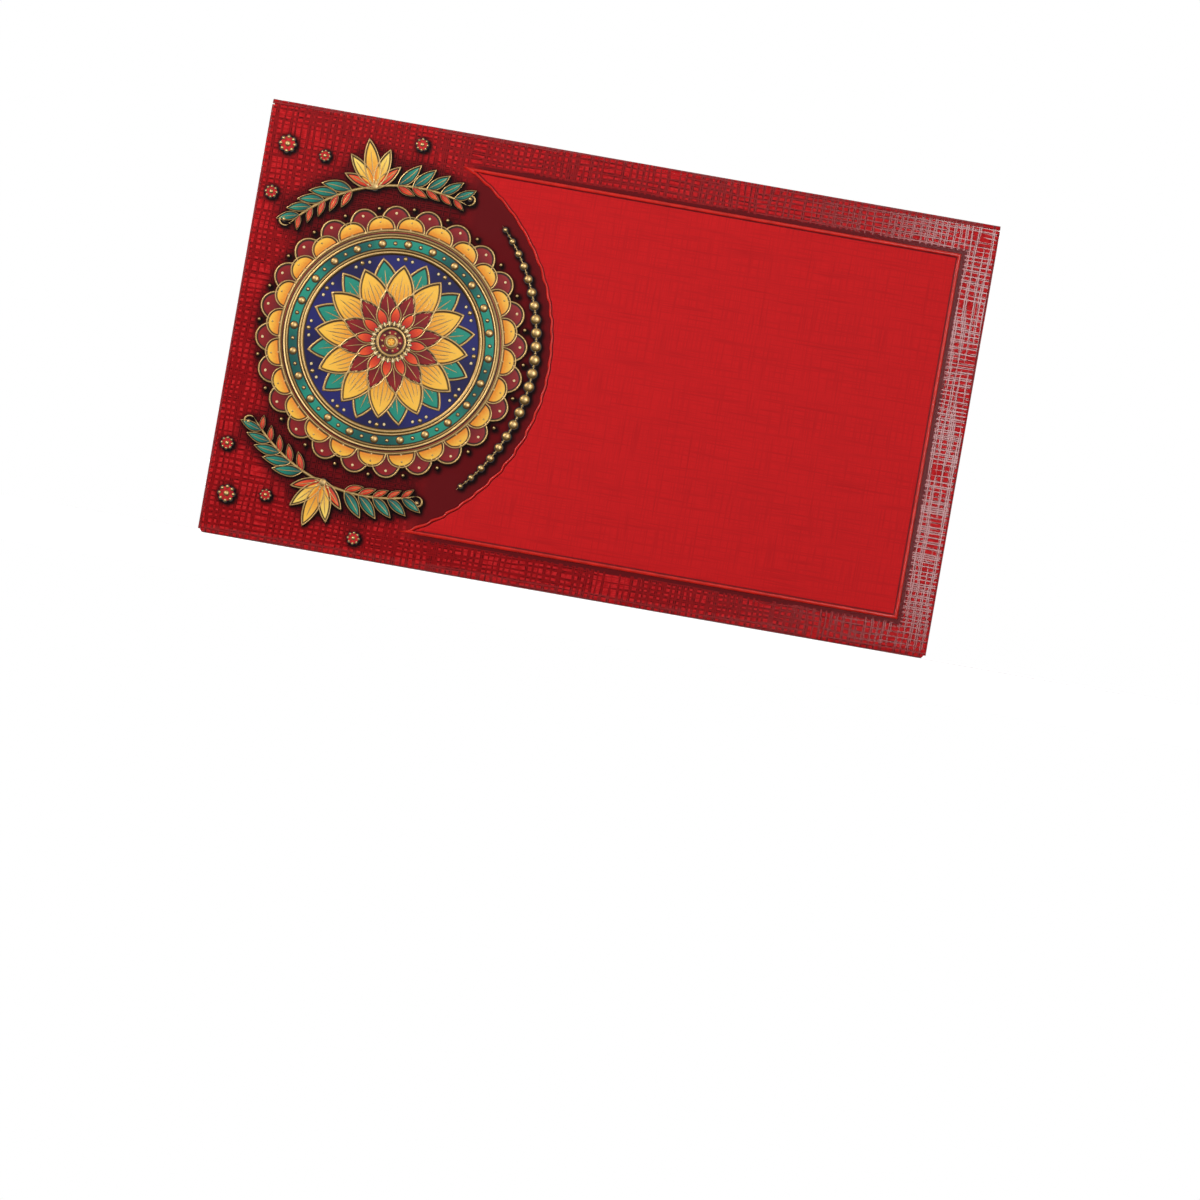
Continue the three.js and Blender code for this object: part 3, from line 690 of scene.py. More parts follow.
def rolledCrease(bag, centre, radius, ends, bulge, along, sheetAt, seed, narrowing=0.0):
    # narrowing is the share by which the rear layer is shorter than the front one
    dice = random.Random(seed)
    bulge, along, front = Vector(bulge), Vector(along), Vector((0, -1, 0))
    steps, stations = creaseLook["steps"], creaseLook["stations"]
    waver = [dice.uniform(-1, 1) for _ in range(stations + 1)]
    loops = []
    for k in range(stations + 1):
        place = ends[0] + (ends[1] - ends[0]) * k / stations
        near = waver[max(0, k - 2):k + 3]
        swell = creaseLook["unevenness"] * sum(near) / len(near)
        ring, sheet = [], []
        outer, inner = (radius - abs(swell), range(steps + 1)), (radius - card, range(steps, -1, -1))
        for reach, order in (outer, inner):
            for i in order:
                angle = math.pi * i / steps
                way = front * math.cos(angle) + bulge * math.sin(angle)
                spot = place * (1 - narrowing * i / steps)
                ring.append(Vector(centre) + way * reach + along * spot)
                sheet.append(sheetAt(angle * radius, spot))
        loops.append(addPoints(bag, ring, sheet))
    size = 2 * (steps + 1)
    for first, second in zip(loops, loops[1:]):
        for i in range(size):
            j = (i + 1) % size
            finish = "varnished" if i < steps else "bare" if steps < i < size - 1 else "cut"
            addFace(bag, (first + i, first + j, second + j, second + i), finish)
    for start in (loops[0], loops[-1]):
        for i in range(steps):
            last = start + size - 1 - i
            addFace(bag, (start + i, start + i + 1, last - 1, last), "cut")


# Embossed fields: a rounded bead with a groove inside it, round a matte face; the grooves beside the bead are
# darkened with painted shade
bead = {
    # inset from the field's outline, rise over the card, finish of the stretch that ends here
    "rows": [
        # the groove stretches carry painted shade
        (0.0, -0.03, "groove"),
        (0.0, 0.08, "groove"),
        (0.06, 0.2, "bead"),
        (0.18, 0.31, "bead"),
        (0.36, 0.38, "bead"),
        (0.6, 0.4, "bead"),
        (0.84, 0.375, "bead"),
        (1.02, 0.3, "bead"),
        (1.14, 0.21, "groove"),
        (1.25, 0.13, "groove"),
        (1.37, 0.095, "groove"),
        (1.5, 0.1, "groove"),
        (1.62, 0.12, "field"),
        (1.78, 0.145, "field"),
        (1.95, 0.15, "field"),
    ],
    "calmed": 2.3,  # inset by which waves of the outline have died away
    "straightWidth": 0.82,  # of the front field's bead, as shares of the full width
    "arcWidth": 0.6,
}


def beadedField(bag, outline, face, out, sheetAt, calm=None, widths=None):
    loop = np.array(outline, float)
    still = np.array(calm if calm is not None else outline, float)
    widths = np.ones(len(loop)) if widths is None else np.array(widths)
    if clockwise(outline)[0] != outline[0]:
        loop, still, widths = loop[::-1], still[::-1], widths[::-1]
    starts = []
    for inset, rise, _ in bead["rows"]:
        share = np.maximum(0.0, 1 - inset * widths / bead["calmed"])[:, None]
        ring = np.array(insetLoop(still, inset * widths) if inset else still) + (loop - still) * share
        points = [(x, face + out * rise, z) for x, z in ring]
        starts.append(addPoints(bag, points, [sheetAt(x, z) for x, z in ring]))
    for k in range(1, len(starts)):
        bridge(bag, starts[k - 1], starts[k], len(loop), bead["rows"][k][2])
    fillFlat(bag, [keptPoints(bag, starts[-1], len(loop))], "field")
    fillFlat(bag, [keptPoints(bag, starts[0], len(loop))], "groove")


# Front field: three straight sides, and the wavy arc that bulges into it
def stretch(start, end, steps):
    # evenly spaced points from start up to, but not including, end
    (x, z), (endX, endZ) = start, end
    return [(x + (endX - x) * k / steps, z + (endZ - z) * k / steps) for k in range(steps)]


def deckle(turns, heights):
    # uneven teeth: each swells slowly and steps back fast, with its own height
    k = math.floor(turns)
    part = turns - k
    part = part / 0.7 if part < 0.7 else (1 - part) / 0.3
    return heights[k % len(heights)] * part * part * (3 - 2 * part)


def frontFieldOutline(isWavy):
    waves = round(2 * arcHalfAngle * arcRadius / frontCut["wavePitch"])
    steps = frontCut["waveSteps"] * waves
    dice = random.Random(4)
    heights = [dice.uniform(frontCut["leastTooth"], 1.0) for _ in range(2 * waves)]
    drift, rate = frontCut["teethDrift"]
    _, right, foot, head = fieldSides
    ends = [(arcCentre[0] + arcRadius * math.cos(arcHalfAngle), z) for z in (foot, head)]
    points = stretch(ends[1], (right, head), 40)[1:] + stretch((right, head), (right, foot), 30)
    points += stretch((right, foot), ends[0], 40)
    widths = [bead["straightWidth"]] * len(points)
    for i in range(steps + 1):
        share = i / steps
        angle = arcHalfAngle * (2 * share - 1)
        # the teeth are lively below and calm above
        lively = frontCut["calm"] + (1 - frontCut["calm"]) * (1 - share)
        uneven = drift * math.sin(rate * share) * math.sin(math.pi * share)
        tooth = deckle(frontCut["teethPerWave"] * waves * share + uneven, heights)
        reach = arcRadius + lively * frontCut["waveDepth"] * tooth * isWavy
        points.append(polar(reach, angle, arcCentre))
        widths.append(bead["arcWidth"])
    # the width changes gently round the two points of the field
    blend = frontCut["tipBlend"]
    for i, (x, z) in enumerate(points):
        near = max(0.0, 1 - min(math.dist((x, z), end) for end in ends) / blend)
        middle = (bead["straightWidth"] + bead["arcWidth"]) / 2
        widths[i] += (middle - widths[i]) * near * near * (3 - 2 * near)
    return points, widths


def frontSheet(x, z):
    return (x, z, 0.0)


frontField = newBag()
wavyOutline, beadWidths = frontFieldOutline(True)
beadedField(frontField, wavyOutline, frontFace, -1, frontSheet, frontFieldOutline(False)[0], beadWidths)
makePiece(frontField, "front_field_embossed", ["front_field"], "pocket")
print("front field:", len(frontField["faces"]), "faces")


# Ornament templates lie flat: x and z on the card, and y is minus the height
def enamelCell(outline, rim, rise, fill, dome, length, step=0.45, base=-0.03):
    # a raised gold rim round a softly domed fill, as one closed body
    bag = newBag()
    loop = clockwise(outline)
    # the last value of each row is a tone for painted light: painted shade at the feet and a painted highlight
    # on the tops
    rows = [
        (0.0, base, "rim", 0.0),
        (0.0, 0.5 * rise, "rim", 0.1),
        (0.2 * rim, 0.88 * rise, "rim", 0.75),
        (0.5 * rim, rise, "rim", 1.0),
        (0.8 * rim, 0.86 * rise, "rim", 0.6),
        (rim, fill, "rim", 0.05),
        (rim + 0.12, fill, "fill", 0.0),
        (rim + 0.12 + step, fill + 0.7 * dome, "fill", 0.6),
        (rim + 0.12 + 2 * step, fill + dome, "fill", 1.0),
    ]
    starts = []
    for inset, height, _, edge in rows:
        ring = insetLoop(loop, inset) if inset else loop
        paint = [(edge, unit(x / length), 0.0) for x, _ in ring]
        starts.append(addPoints(bag, [(x, -height, z) for x, z in ring], paint=paint))
    for k in range(1, len(rows)):
        bridge(bag, starts[k - 1], starts[k], len(loop), rows[k][2])
    for start, finish in ((starts[0], "rim"), (starts[-1], "fill")):
        numbers = keptPoints(bag, start, len(loop))
        if math.dist(bag["points"][numbers[0]], bag["points"][numbers[-1]]) <= nearlyOne:
            numbers.pop()
        if len(numbers) > 2:
            fillFlat(bag, [numbers], finish)
    return bag


def stroke(path, width, foot, crown, taper=0.25, finish="rim"):
    # a raised line with a round back, drawn to a point at both ends
    bag = newBag()
    way = np.array(path, float)
    ahead = np.gradient(way, axis=0)
    side = np.stack((-ahead[:, 1], ahead[:, 0]), 1) / np.linalg.norm(ahead, axis=1)[:, None]
    count = len(way)
    # the last value of each step is a tone for painted light: painted shade at both feet, a painted highlight
    # along the crown
    section = [(-1.0, 0.0, 0.0), (-0.62, 0.8, 0.7), (0.0, 1.0, 1.0), (0.62, 0.8, 0.7), (1.0, 0.0, 0.0)]
    starts = []
    for i in range(count):
        share = i / (count - 1)
        thin = min(1.0, share / taper, (1 - share) / taper) if taper else 1.0
        half = 0.5 * width * max(0.06, thin ** 0.7)
        points, paint = [], []
        for across, up, edge in section:
            x, z = way[i] + side[i] * across * half
            points.append((x, -(foot + (crown - foot) * up * max(0.15, thin ** 0.5)), z))
            paint.append((edge, share, 0.0))
        starts.append(addPoints(bag, points, paint=paint))
    for first, second in zip(starts, starts[1:]):
        bridge(bag, first, second, 5, finish)
    for start in (starts[0], starts[-1]):
        addFace(bag, range(start, start + 5), finish)
    return bag


def turned(rows, steps, closed):
    # rows of radius, height, finish and a tone for painted light (painted shade at 0, painted highlight at 1),
    # carried round the centre
    bag = newBag()
    starts = []
    for radius, height, _, edge in rows:
        turn = [2 * math.pi * j / steps for j in range(steps)]
        points = [(radius * math.cos(a), -height, radius * math.sin(a)) for a in turn]
        paint = [(edge, 0.5 + 0.5 * math.sin(5 * a), 0.0) for a in turn]
        starts.append(addPoints(bag, points, paint=paint))
    for k in range(1, len(rows)):
        bridge(bag, starts[k - 1], starts[k], steps, rows[k][2])
    if closed:
        bridge(bag, starts[-1], starts[0], steps, rows[0][2])
    return bag


def pearl(radius, foot, crown, finish="rim", around=16, outline=0.16):
    # a low dome, with painted shade at its foot and a painted highlight on top, and a printed dark line round
    # it
    rows = [(0.0, foot - 0.02, finish, 0.0), (radius, foot - 0.02, finish, 0.0)]
    for angle in (0.16, 0.42, 0.75, 1.1, 1.4):
        height = foot + (crown - foot) * math.sin(angle)
        rows.append((radius * math.cos(angle), height, finish, 0.25 + 0.75 * math.sin(angle)))
    rows.append((0.0, crown, finish, 1.0))
    bag = turned(rows, around, False)
    if outline:
        line = [
            (0.0, foot - 0.02, "dark", 0.0),
            (radius + outline, foot - 0.02, "dark", 0.0),
            (radius + outline, foot + 0.012, "dark", 0.0),
            (0.0, foot + 0.012, "dark", 0.0),
        ]
        merge(bag, turned(line, around, False))
    return bag


def stamp(
    bag, template, centre, angle=0.0, size=1.0, lift=0.0, rim="gold", fill="fill", seed=0.0,
    mirror=False, face=None,
):
    # sets a copy of a flat template on the front, with its rim and its fill in the finishes asked for
    swap = {"rim": rim, "fill": fill}
    face = frontFace if face is None else face
    c, s = math.cos(angle), math.sin(angle)
    start = len(bag["points"])
    flip = -1 if mirror else 1
    for (x, y, z), paint in zip(template["points"], template["paint"]):
        px = centre[0] + size * (c * x - s * z)
        pz = centre[1] + flip * size * (s * x + c * z)
        bag["points"].append((px, face + y - lift, pz))
        bag["sheet"].append((px, pz, 0.0))
        bag["paint"].append((paint[0], paint[1], seed + paint[2]))
    bag["faces"] += [tuple(start + i for i in f) for f in template["faces"]]
    bag["finish"] += [swap.get(f, f) for f in template["finish"]]


def petalOutline(length, half, base, belly=0.36, shoulder=0.78, steps=14):
    # a pointed petal along x, with its widest part near the belly
    sides = [(belly * length, -1.3 * half), (shoulder * length, -0.8 * half)]
    low = bezier([(0, -base), *sides, (length, 0)], steps)
    high = [(x, -z) for x, z in reversed(low[:-1])]
    return low + high


def leafOutline(length, half, bend, steps=12):
    sides = [(0.3 * length, -1.35 * half), (0.72 * length, -0.8 * half)]
    low = bezier([(0, -0.08), *sides, (length, 0)], steps)
    high = [(x, -z) for x, z in reversed(low[:-1])]
    return [(x, z + bend * length * (x / length) ** 2) for x, z in low + high]


def archOutline(foot, rise, half, steps=18):
    # a scallop that stands on a ring of radius foot
    lower = [half * (1 - 2 * k / 8) for k in range(9)]
    points = [polar(foot, a) for a in lower]
    for k in range(1, steps):
        a = -half * math.cos(math.pi * k / steps)
        reach = foot + rise * math.sin(math.pi * k / steps) ** 0.9
        points.append(polar(reach, a))
    return points


# The round ornament, with its place and its two radii read from the frame
rosette = {
    "laceWidth": 7.6,
    "scallops": 24,
    "petals": 12,
    "bandPearls": 24,
}
laceLeft, laceRight = span("lace_rim", 0)
# the sides of the lace are hollows between two arches
laceRadius = (laceRight - laceLeft) / 2 / math.cos(math.pi / rosette["scallops"])
rosetteCentre = (sum(span("lace_rim", 0)) / 2, sum(span("lace_rim", 2)) / 2)
laceInner = laceRadius - rosette["laceWidth"]
bloomLeft, bloomRight = span("medallion", 0)
bloomRadius = (bloomRight - bloomLeft) / 2


def onRosette(radius, angle):
    return polar(radius, angle, rosetteCentre)


def veined(cell, length, half, rise, count, width=0.34):
    # petal veins: one down the middle and one or more pairs beside it
    middle = bezier([(along * length, 0) for along in (0.2, 0.4, 0.6, 0.82)], 10)
    merge(cell, stroke(middle, width, rise - 0.02, rise + 0.07))
    for k in range(1, count):
        share = k / count
        for side in (-1, 1):
            path = [(0.24 * length, side * 0.16 * half)]
            for along, out in ((0.42, 0.62), (0.58, 0.5), (0.7, 0.3)):
                path.append((along * length, side * out * half * share * 1.5))
            merge(cell, stroke(bezier(path, 8), 0.8 * width, rise - 0.02, rise + 0.05))
    return cell


petalLayers = [
    # from behind: length, half width and root; rim width, rise, fill and dome; step of the dome;
    # rise, count and width of the veins; how far out it stands; whether between the others; ink
    {
        "size": (14.6, 4.3, 1.2), "relief": (0.55, 0.22, 0.14, 0.04), "step": 0.45,
        "veins": (0.17, 2, 0.34), "out": 6.6, "isBetween": True, "ink": "teal",
    },
    {
        "size": (14.4, 4.5, 1.6), "relief": (0.55, 0.31, 0.22, 0.05), "step": 0.45,
        "veins": (0.26, 3, 0.34), "out": 5.2, "isBetween": False, "ink": "amber",
    },
    {
        "size": (8.6, 2.9, 0.9), "relief": (0.42, 0.36, 0.29, 0.03), "step": 0.3,
        "veins": (0.31, 1, 0.26), "out": 4.6, "isBetween": True, "ink": "maroon",
    },
    {
        "size": (5.2, 1.75, 0.8), "relief": (0.36, 0.395, 0.33, 0.03), "step": 0.22,
        "veins": None, "out": 4.2, "isBetween": False, "ink": "orange",
    },
]
bloomBeads = {
    "beads": 24,
    "beadsOut": 3.7,
    "dots": 10,
    "dotsOut": 2.3,
    "drops": 21.0,
    "specks": 20.7,
    "speckTurn": 0.0875,
}


def petalOf(layer):
    length, half, root = layer["size"]
    cell = enamelCell(petalOutline(length, half, root), *layer["relief"], length, layer["step"])
    if layer["veins"]:
        veined(cell, length, half, *layer["veins"])
    return cell


def buildMedallion():
    bag = newBag()
    disc = turned(
        [
            (0.0, -0.03, "navy", 0.9),
            (bloomRadius, -0.03, "gold", 0.0),
            (bloomRadius, 0.16, "gold", 0.3),
            (bloomRadius - 0.15, 0.22, "gold", 0.9),
            (bloomRadius - 0.35, 0.24, "gold", 1.0),
            (bloomRadius - 0.6, 0.2, "gold", 0.5),
            (bloomRadius - 0.75, 0.07, "gold", 0.0),
            (bloomRadius - 0.9, 0.06, "navy", 0.0),
            (bloomRadius - 1.4, 0.07, "navy", 0.8),
            (0.5 * bloomRadius, 0.08, "navy", 1.0),
            (0.0, 0.09, "navy", 1.0),
        ],
        144,
        False,
    )
    stamp(bag, disc, rosetteCentre)
    petals = [petalOf(layer) for layer in petalLayers]
    bead = enamelCell(petalOutline(1.9, 0.62, 0.3, 0.4, 0.9, 8), 0.16, 0.36, 0.37, 0.02, 1.9, 0.1)
    speck = pearl(0.34, 0.06, 0.26)
    drop = pearl(0.5, 0.06, 0.3)
    for k in range(rosette["petals"]):
        turn = 2 * math.pi * k / rosette["petals"]
        for petal, layer, tone in zip(petals, petalLayers, (0.0, 0.3, 0.6, 0.9)):
            heading = turn + math.pi / rosette["petals"] if layer["isBetween"] else turn
            stamp(bag, petal, onRosette(layer["out"], heading), heading, fill=layer["ink"], seed=k + tone)
        stamp(bag, drop, onRosette(bloomBeads["drops"], turn))
        for side in (-1, 1):
            place = onRosette(bloomBeads["specks"], turn + side * bloomBeads["speckTurn"])
            stamp(bag, speck, place, rim="cream")
    for k in range(bloomBeads["beads"]):
        turn = 2 * math.pi * k / bloomBeads["beads"]
        stamp(bag, bead, onRosette(bloomBeads["beadsOut"], turn), turn, fill="cream", seed=k)
    eye = turned(
        [
            (0.0, -0.03, "gold", 0.5),
            (3.75, -0.03, "gold", 0.0),
            (3.75, 0.34, "gold", 0.3),
            (3.55, 0.4, "gold", 1.0),
            (3.3, 0.4, "gold", 0.8),
            (3.1, 0.34, "gold", 0.0),
            (3.0, 0.33, "maroon", 0.0),
            (2.6, 0.345, "maroon", 0.8),
            (1.75, 0.35, "maroon", 1.0),
            (1.55, 0.35, "gold", 0.0),
            (1.4, 0.4, "gold", 0.8),
            (1.1, 0.405, "gold", 1.0),
            (0.95, 0.38, "gold", 0.2),
            (0.85, 0.375, "amber", 0.2),
            (0.4, 0.395, "amber", 1.0),
            (0.0, 0.4, "amber", 1.0),
        ],
        60,
        False,
    )
    stamp(bag, eye, rosetteCentre)
    dot = pearl(0.3, 0.34, 0.4, outline=0)
    for k in range(bloomBeads["dots"]):
        stamp(bag, dot, onRosette(bloomBeads["dotsOut"], 2 * math.pi * k / bloomBeads["dots"]))
    return bag


def buildPearlBand():
    bag = newBag()
    inner, outer = bloomRadius + 0.15, laceInner - 0.1
    band = turned(
        [
            (inner, -0.03, "gold", 0.0),
            (inner, 0.14, "gold", 0.4),
            (inner + 0.22, 0.24, "gold", 1.0),
            (inner + 0.42, 0.22, "gold", 0.7),
            (inner + 0.55, 0.08, "gold", 0.0),
            (inner + 0.65, 0.08, "teal", 0.0),
            (inner + 1.0, 0.11, "teal", 0.8),
            (outer - 1.0, 0.11, "teal", 0.8),
            (outer - 0.65, 0.08, "teal", 0.0),
            (outer - 0.55, 0.08, "teal", 0.0),
            (outer - 0.42, 0.22, "gold", 0.7),
            (outer - 0.22, 0.24, "gold", 1.0),
            (outer, 0.14, "gold", 0.4),
            (outer, -0.03, "gold", 0.0),
        ],
        192,
        True,
    )
    stamp(bag, band, rosetteCentre)
    middle = (inner + outer) / 2
    large, small = pearl(0.92, 0.1, 0.36, around=20), pearl(0.4, 0.1, 0.26, around=12)
    for k in range(2 * rosette["bandPearls"]):
        turn = math.pi * k / rosette["bandPearls"]
        stamp(bag, large if k % 2 == 0 else small, onRosette(middle, turn), seed=k)
    return bag


def buildLace():
    bag = newBag()
    half = math.pi / rosette["scallops"]
    ring = turned(
        [
            (laceInner, -0.03, "gold", 0.0),
            (laceInner, 0.2, "gold", 0.3),
            (laceInner + 0.2, 0.3, "gold", 1.0),
            (laceInner + 0.45, 0.3, "gold", 0.9),
            (laceInner + 0.6, 0.16, "gold", 0.0),
            (laceInner + 0.7, 0.15, "maroon", 0.0),
            (laceInner + 0.95, 0.16, "maroon", 0.8),
            (laceInner + 1.1, 0.15, "gold", 0.0),
            (laceInner + 1.25, 0.3, "gold", 0.9),
            (laceInner + 1.45, 0.31, "gold", 1.0),
            (laceInner + 1.7, 0.1, "gold", 0.0),
            (laceInner + 1.9, -0.03, "gold", 0.0),
        ],
        192,
        True,
    )
    outerArch = archOutline(laceInner + 1.3, laceRadius - laceInner - 1.3, half * 1.05)
    outerArch = enamelCell(outerArch, 0.5, 0.26, 0.12, 0.04, laceRadius, 0.5)
    innerArch = enamelCell(archOutline(laceInner + 1.2, 4.0, half), 0.42, 0.33, 0.22, 0.06, laceRadius, 0.4)
    for template in (outerArch, innerArch):
        low = min(p[0] for p in template["points"])
        high = max(p[0] for p in template["points"])
        template["paint"] = [
            (edge, (p[0] - low) / (high - low), seed)
            for (edge, _, seed), p in zip(template["paint"], template["points"])
        ]
    tip = pearl(0.42, -0.02, 0.3, around=12)
    dot = pearl(0.33, 0.14, 0.32, around=12, outline=0.1)
    seed = pearl(0.26, 0.24, 0.38, around=10, outline=0.1)
    for k in range(rosette["scallops"]):
        turn = 2 * math.pi * k / rosette["scallops"]
        stamp(bag, outerArch, rosetteCentre, turn + half, fill="maroon", seed=k)
        stamp(bag, innerArch, rosetteCentre, turn, fill="amber", seed=k + 0.5)
        stamp(bag, dot, onRosette(laceRadius - 1.9, turn + half), rim="cream")
        stamp(bag, seed, onRosette(laceInner + 3.6, turn))
        stamp(bag, tip, onRosette(laceRadius - 0.6, turn))
    stamp(bag, ring, rosetteCentre)
    return bag


# Pearls along the curved edge of the field, largest at the middle
pearlRow = {"inset": 3.4, "pitch": 3.4, "ends": 0.17, "largest": 1.28, "least": 0.55}


def buildArcPearls():
    bag = newBag()
    reach = arcRadius - pearlRow["inset"]
    halfAngle = arcHalfAngle * (1 - 2 * pearlRow["ends"])
    count = round(2 * halfAngle * reach / pearlRow["pitch"])
    line = [polar(reach, a, arcCentre) for a in np.linspace(-halfAngle * 1.04, halfAngle * 1.04, 120)]
    stamp(bag, stroke(line, 0.34, -0.02, 0.12, taper=0.08), (0, 0))
    for k in range(count + 1):
        share = 2 * k / count - 1
        angle = halfAngle * share
        growth = math.cos(share * math.pi / 2) ** 0.8
        radius = pearlRow["least"] + (pearlRow["largest"] - pearlRow["least"]) * growth
        stamp(bag, pearl(radius, 0.0, 0.38, around=22), polar(reach, angle, arcCentre), seed=k)
        if k < count:
            middle = halfAngle * (share + 1 / count)
            stamp(bag, pearl(0.3, 0.0, 0.26, around=10), polar(reach, middle, arcCentre), seed=k + 0.5)
    return bag


# Leaf sprays in the corners: a stem round the lace, leaves in pairs, and a palmette
spray = {
    "gap": 5.0,
    "start": 71.0,  # degrees round the ornament
    "end": 141.0,
    "pairs": 5,
    "leafLength": 8.0,
    "leafHalf": 1.9,
    "leafBend": 0.12,
    "leafLean": 0.62,
    "palmette": 12.6,
    "leafRoom": 0.12,  # share of the stem between the palmette and the first pair
    "innerLeaf": 0.64,
    "flowers": [(56.0, 127.5, 1.2), (48.2, 138.5, 0.9), (49.5, 119.5, 0.8), (50.0, 91.0, 0.9)],
}


def dotFlower():
    # a ring of eight small pearls round a larger one, on a red disc
    bag = newBag()
    rows = [(0.0, -0.02, 0.0), (1.5, -0.02, 0.0), (1.5, 0.03, 0.8), (0.0, 0.05, 1.0)]
    disc = [(radius, height, "red", edge) for radius, height, edge in rows]
    stamp(bag, turned(disc, 32, False), (0, 0), face=0)
    stamp(bag, pearl(0.62, 0.0, 0.3, around=14), (0, 0), face=0)
    for k in range(8):
        stamp(bag, pearl(0.36, 0.0, 0.26, around=12), polar(1.45, math.pi * k / 4), face=0)
    return bag


def buildSpray(mirror):
    bag = newBag()
    reach = laceRadius + spray["gap"]
    start, end = math.radians(spray["start"]), math.radians(spray["end"])
    middle = (start + end) / 2
    flat = newBag()
    stem = [polar(reach, a) for a in np.linspace(start, end, 70)]
    stamp(flat, stroke(stem, 0.85, -0.03, 0.24, taper=0.12), (0, 0), face=0)
    for side, tip in ((-1, start), (1, end)):
        # the stem ends in a curl
        centre = polar(reach + 1.7, tip)
        curl = []
        for k in range(26):
            share = k / 25
            curl.append(polar(1.7 - 1.2 * share, tip + math.pi - side * share * 4.4, centre))
        stamp(flat, stroke(curl, 0.6, -0.03, 0.22, taper=0.3), (0, 0), face=0)
        stamp(flat, pearl(0.5, 0.0, 0.32), centre, face=0)
    length, bend = spray["leafLength"], spray["leafBend"]
    leaf = enamelCell(leafOutline(length, spray["leafHalf"], bend), 0.34, 0.28, 0.17, 0.05, length, 0.28)
    rib = [(x, bend * length * (x / length) ** 2) for x in np.linspace(0.6, 0.86 * length, 12)]
    merge(leaf, stroke(rib, 0.28, 0.18, 0.29))
    for pair in range(spray["pairs"]):
        for half in (-1, 1):
            along = spray["leafRoom"] + (0.5 - spray["leafRoom"]) * pair / spray["pairs"]
            angle = middle + half * (end - start) * along
            heading = angle + half * math.pi / 2
            for lean in (-spray["leafLean"], spray["leafLean"]):
                isInward = half * lean > 0
                size = (spray["innerLeaf"] if isInward else 1.0) * (1 - 0.06 * pair)
                fill = "orange" if isInward else "teal"
                place = polar(reach, angle)
                stamp(flat, leaf, place, heading + lean, size, fill=fill, seed=pair + half * 0.25, face=0)
    for k, share in ((-2, 0.68), (2, 0.68), (-1, 0.84), (1, 0.84), (0, 1.0)):
        length = spray["palmette"] * share
        petal = enamelCell(petalOutline(length, 0.2 * length, 0.5), 0.42, 0.33, 0.2, 0.06, length, 0.35)
        veined(petal, length, 0.2 * length, 0.24, 1)
        fill = {0: "amber", 1: "yellow", 2: "orange"}[abs(k)]
        lift = 0.01 * (2 - abs(k))
        stamp(flat, petal, polar(reach - 0.4, middle), middle + 0.5 * k, lift=lift, fill=fill, seed=k, face=0)
    heart = polar(reach, middle)
    stamp(flat, pearl(1.0, 0.2, 0.39, around=20), heart, face=0)
    for k in (-2, -1, 0, 1, 2):
        stamp(flat, pearl(0.36, 0.2, 0.36, around=12), polar(1.75, middle + 0.62 * k, heart), face=0)
    flower = dotFlower()
    for radius, angle, size in spray["flowers"]:
        stamp(flat, flower, polar(radius, math.radians(angle)), size=size, face=0)
    stamp(bag, flat, rosetteCentre, mirror=mirror)
    return bag


ornaments = {
    "medallion": (buildMedallion(), "gold_foil"),
    "pearl_band": (buildPearlBand(), "cream_foil"),
    "lace_rim": (buildLace(), "gold_foil"),
    "arc_pearls": (buildArcPearls(), "gold_foil"),
    "upper_spray": (buildSpray(False), "teal_foil"),
    "lower_spray": (buildSpray(True), "teal_foil"),
}
for name, (bag, slot) in ornaments.items():
    makePiece(bag, name + "_foiled", [name], "pocket")
    print(name + ":", len(bag["faces"]), "faces")


# Printed shade round the ornament, stored on the front card's points
halo = {
    "raster": 0.25,
    "margin": 10,  # round the card
    "room": 40,
    "cover": 0.3,
    "wide": 2.5,
    "near": 0.4,
    "shift": 0.38,
    "wideFrom": 0.1,
    "wideSpan": 0.34,
    "nearGain": 1.5,
    "nearFrom": 0.08,
    "grid": 0.45,
}


def softened(raster, size):
    # Gaussian blur, with its spread in millimetres
    spread = math.pi * size / halo["raster"]
    waves = [np.exp(-2 * (spread * np.fft.fftfreq(n)) ** 2) for n in raster.shape]
    return np.real(np.fft.ifft2(np.fft.fft2(raster) * waves[0][:, None] * waves[1][None]))


def makeShade():
    cells = math.ceil((envelopeHeight + halo["room"]) / halo["raster"])
    margin = halo["margin"]
    raster = np.zeros((cells, cells))
    for bag, _ in ornaments.values():
        places = np.array([(p[0] + envelopeHalf + margin, p[2] + margin) for p in bag["points"]])
        column, row = np.clip((places / halo["raster"]).astype(int), 0, cells - 1).T
        raster[column, row] = 1
    covered = np.clip(3 * softened(raster, halo["cover"]), 0, 1)
    return softened(covered, halo["wide"]), softened(covered, halo["near"])


wideShade, nearShade = makeShade()


def shadeAt(raster, x, z):
    column = int((x + envelopeHalf + halo["margin"]) / halo["raster"])
    row = int((z + halo["margin"]) / halo["raster"])
    return float(raster[column, row]) if column < raster.shape[0] else 0.0


def haloAt(x, z):
    near = shadeAt(nearShade, x - halo["shift"], z + halo["shift"])
    wide = unit((shadeAt(wideShade, x, z) - halo["wideFrom"]) / halo["wideSpan"])
    return (unit(halo["nearGain"] * near - halo["nearFrom"]), wide * wide * (3 - 2 * wide), 0.0)


def buildFrontCard():
    bag = newBag()
    outline = [
        (-panelHalf, bottomLine), (panelHalf, bottomLine), (panelHalf, topLine), (-panelHalf, topLine),
    ]
    right = arcCentre[0] + arcRadius + 1
    grid = halo["grid"]
    inner = [
        (x, z)
        for x in np.arange(-panelHalf + grid, right, grid)
        for z in np.arange(bottomLine + grid, topLine - grid / 2, grid)
    ]
    cardPlate(
        bag, outline, frontFace, frontInside, frontSheet, "haloed", inner=inner, paintAt=haloAt, folds=outline
    )
    makePiece(bag, "front_card", ["front_panel"], "pocket")
    return len(bag["faces"])


print("front card:", buildFrontCard(), "faces")


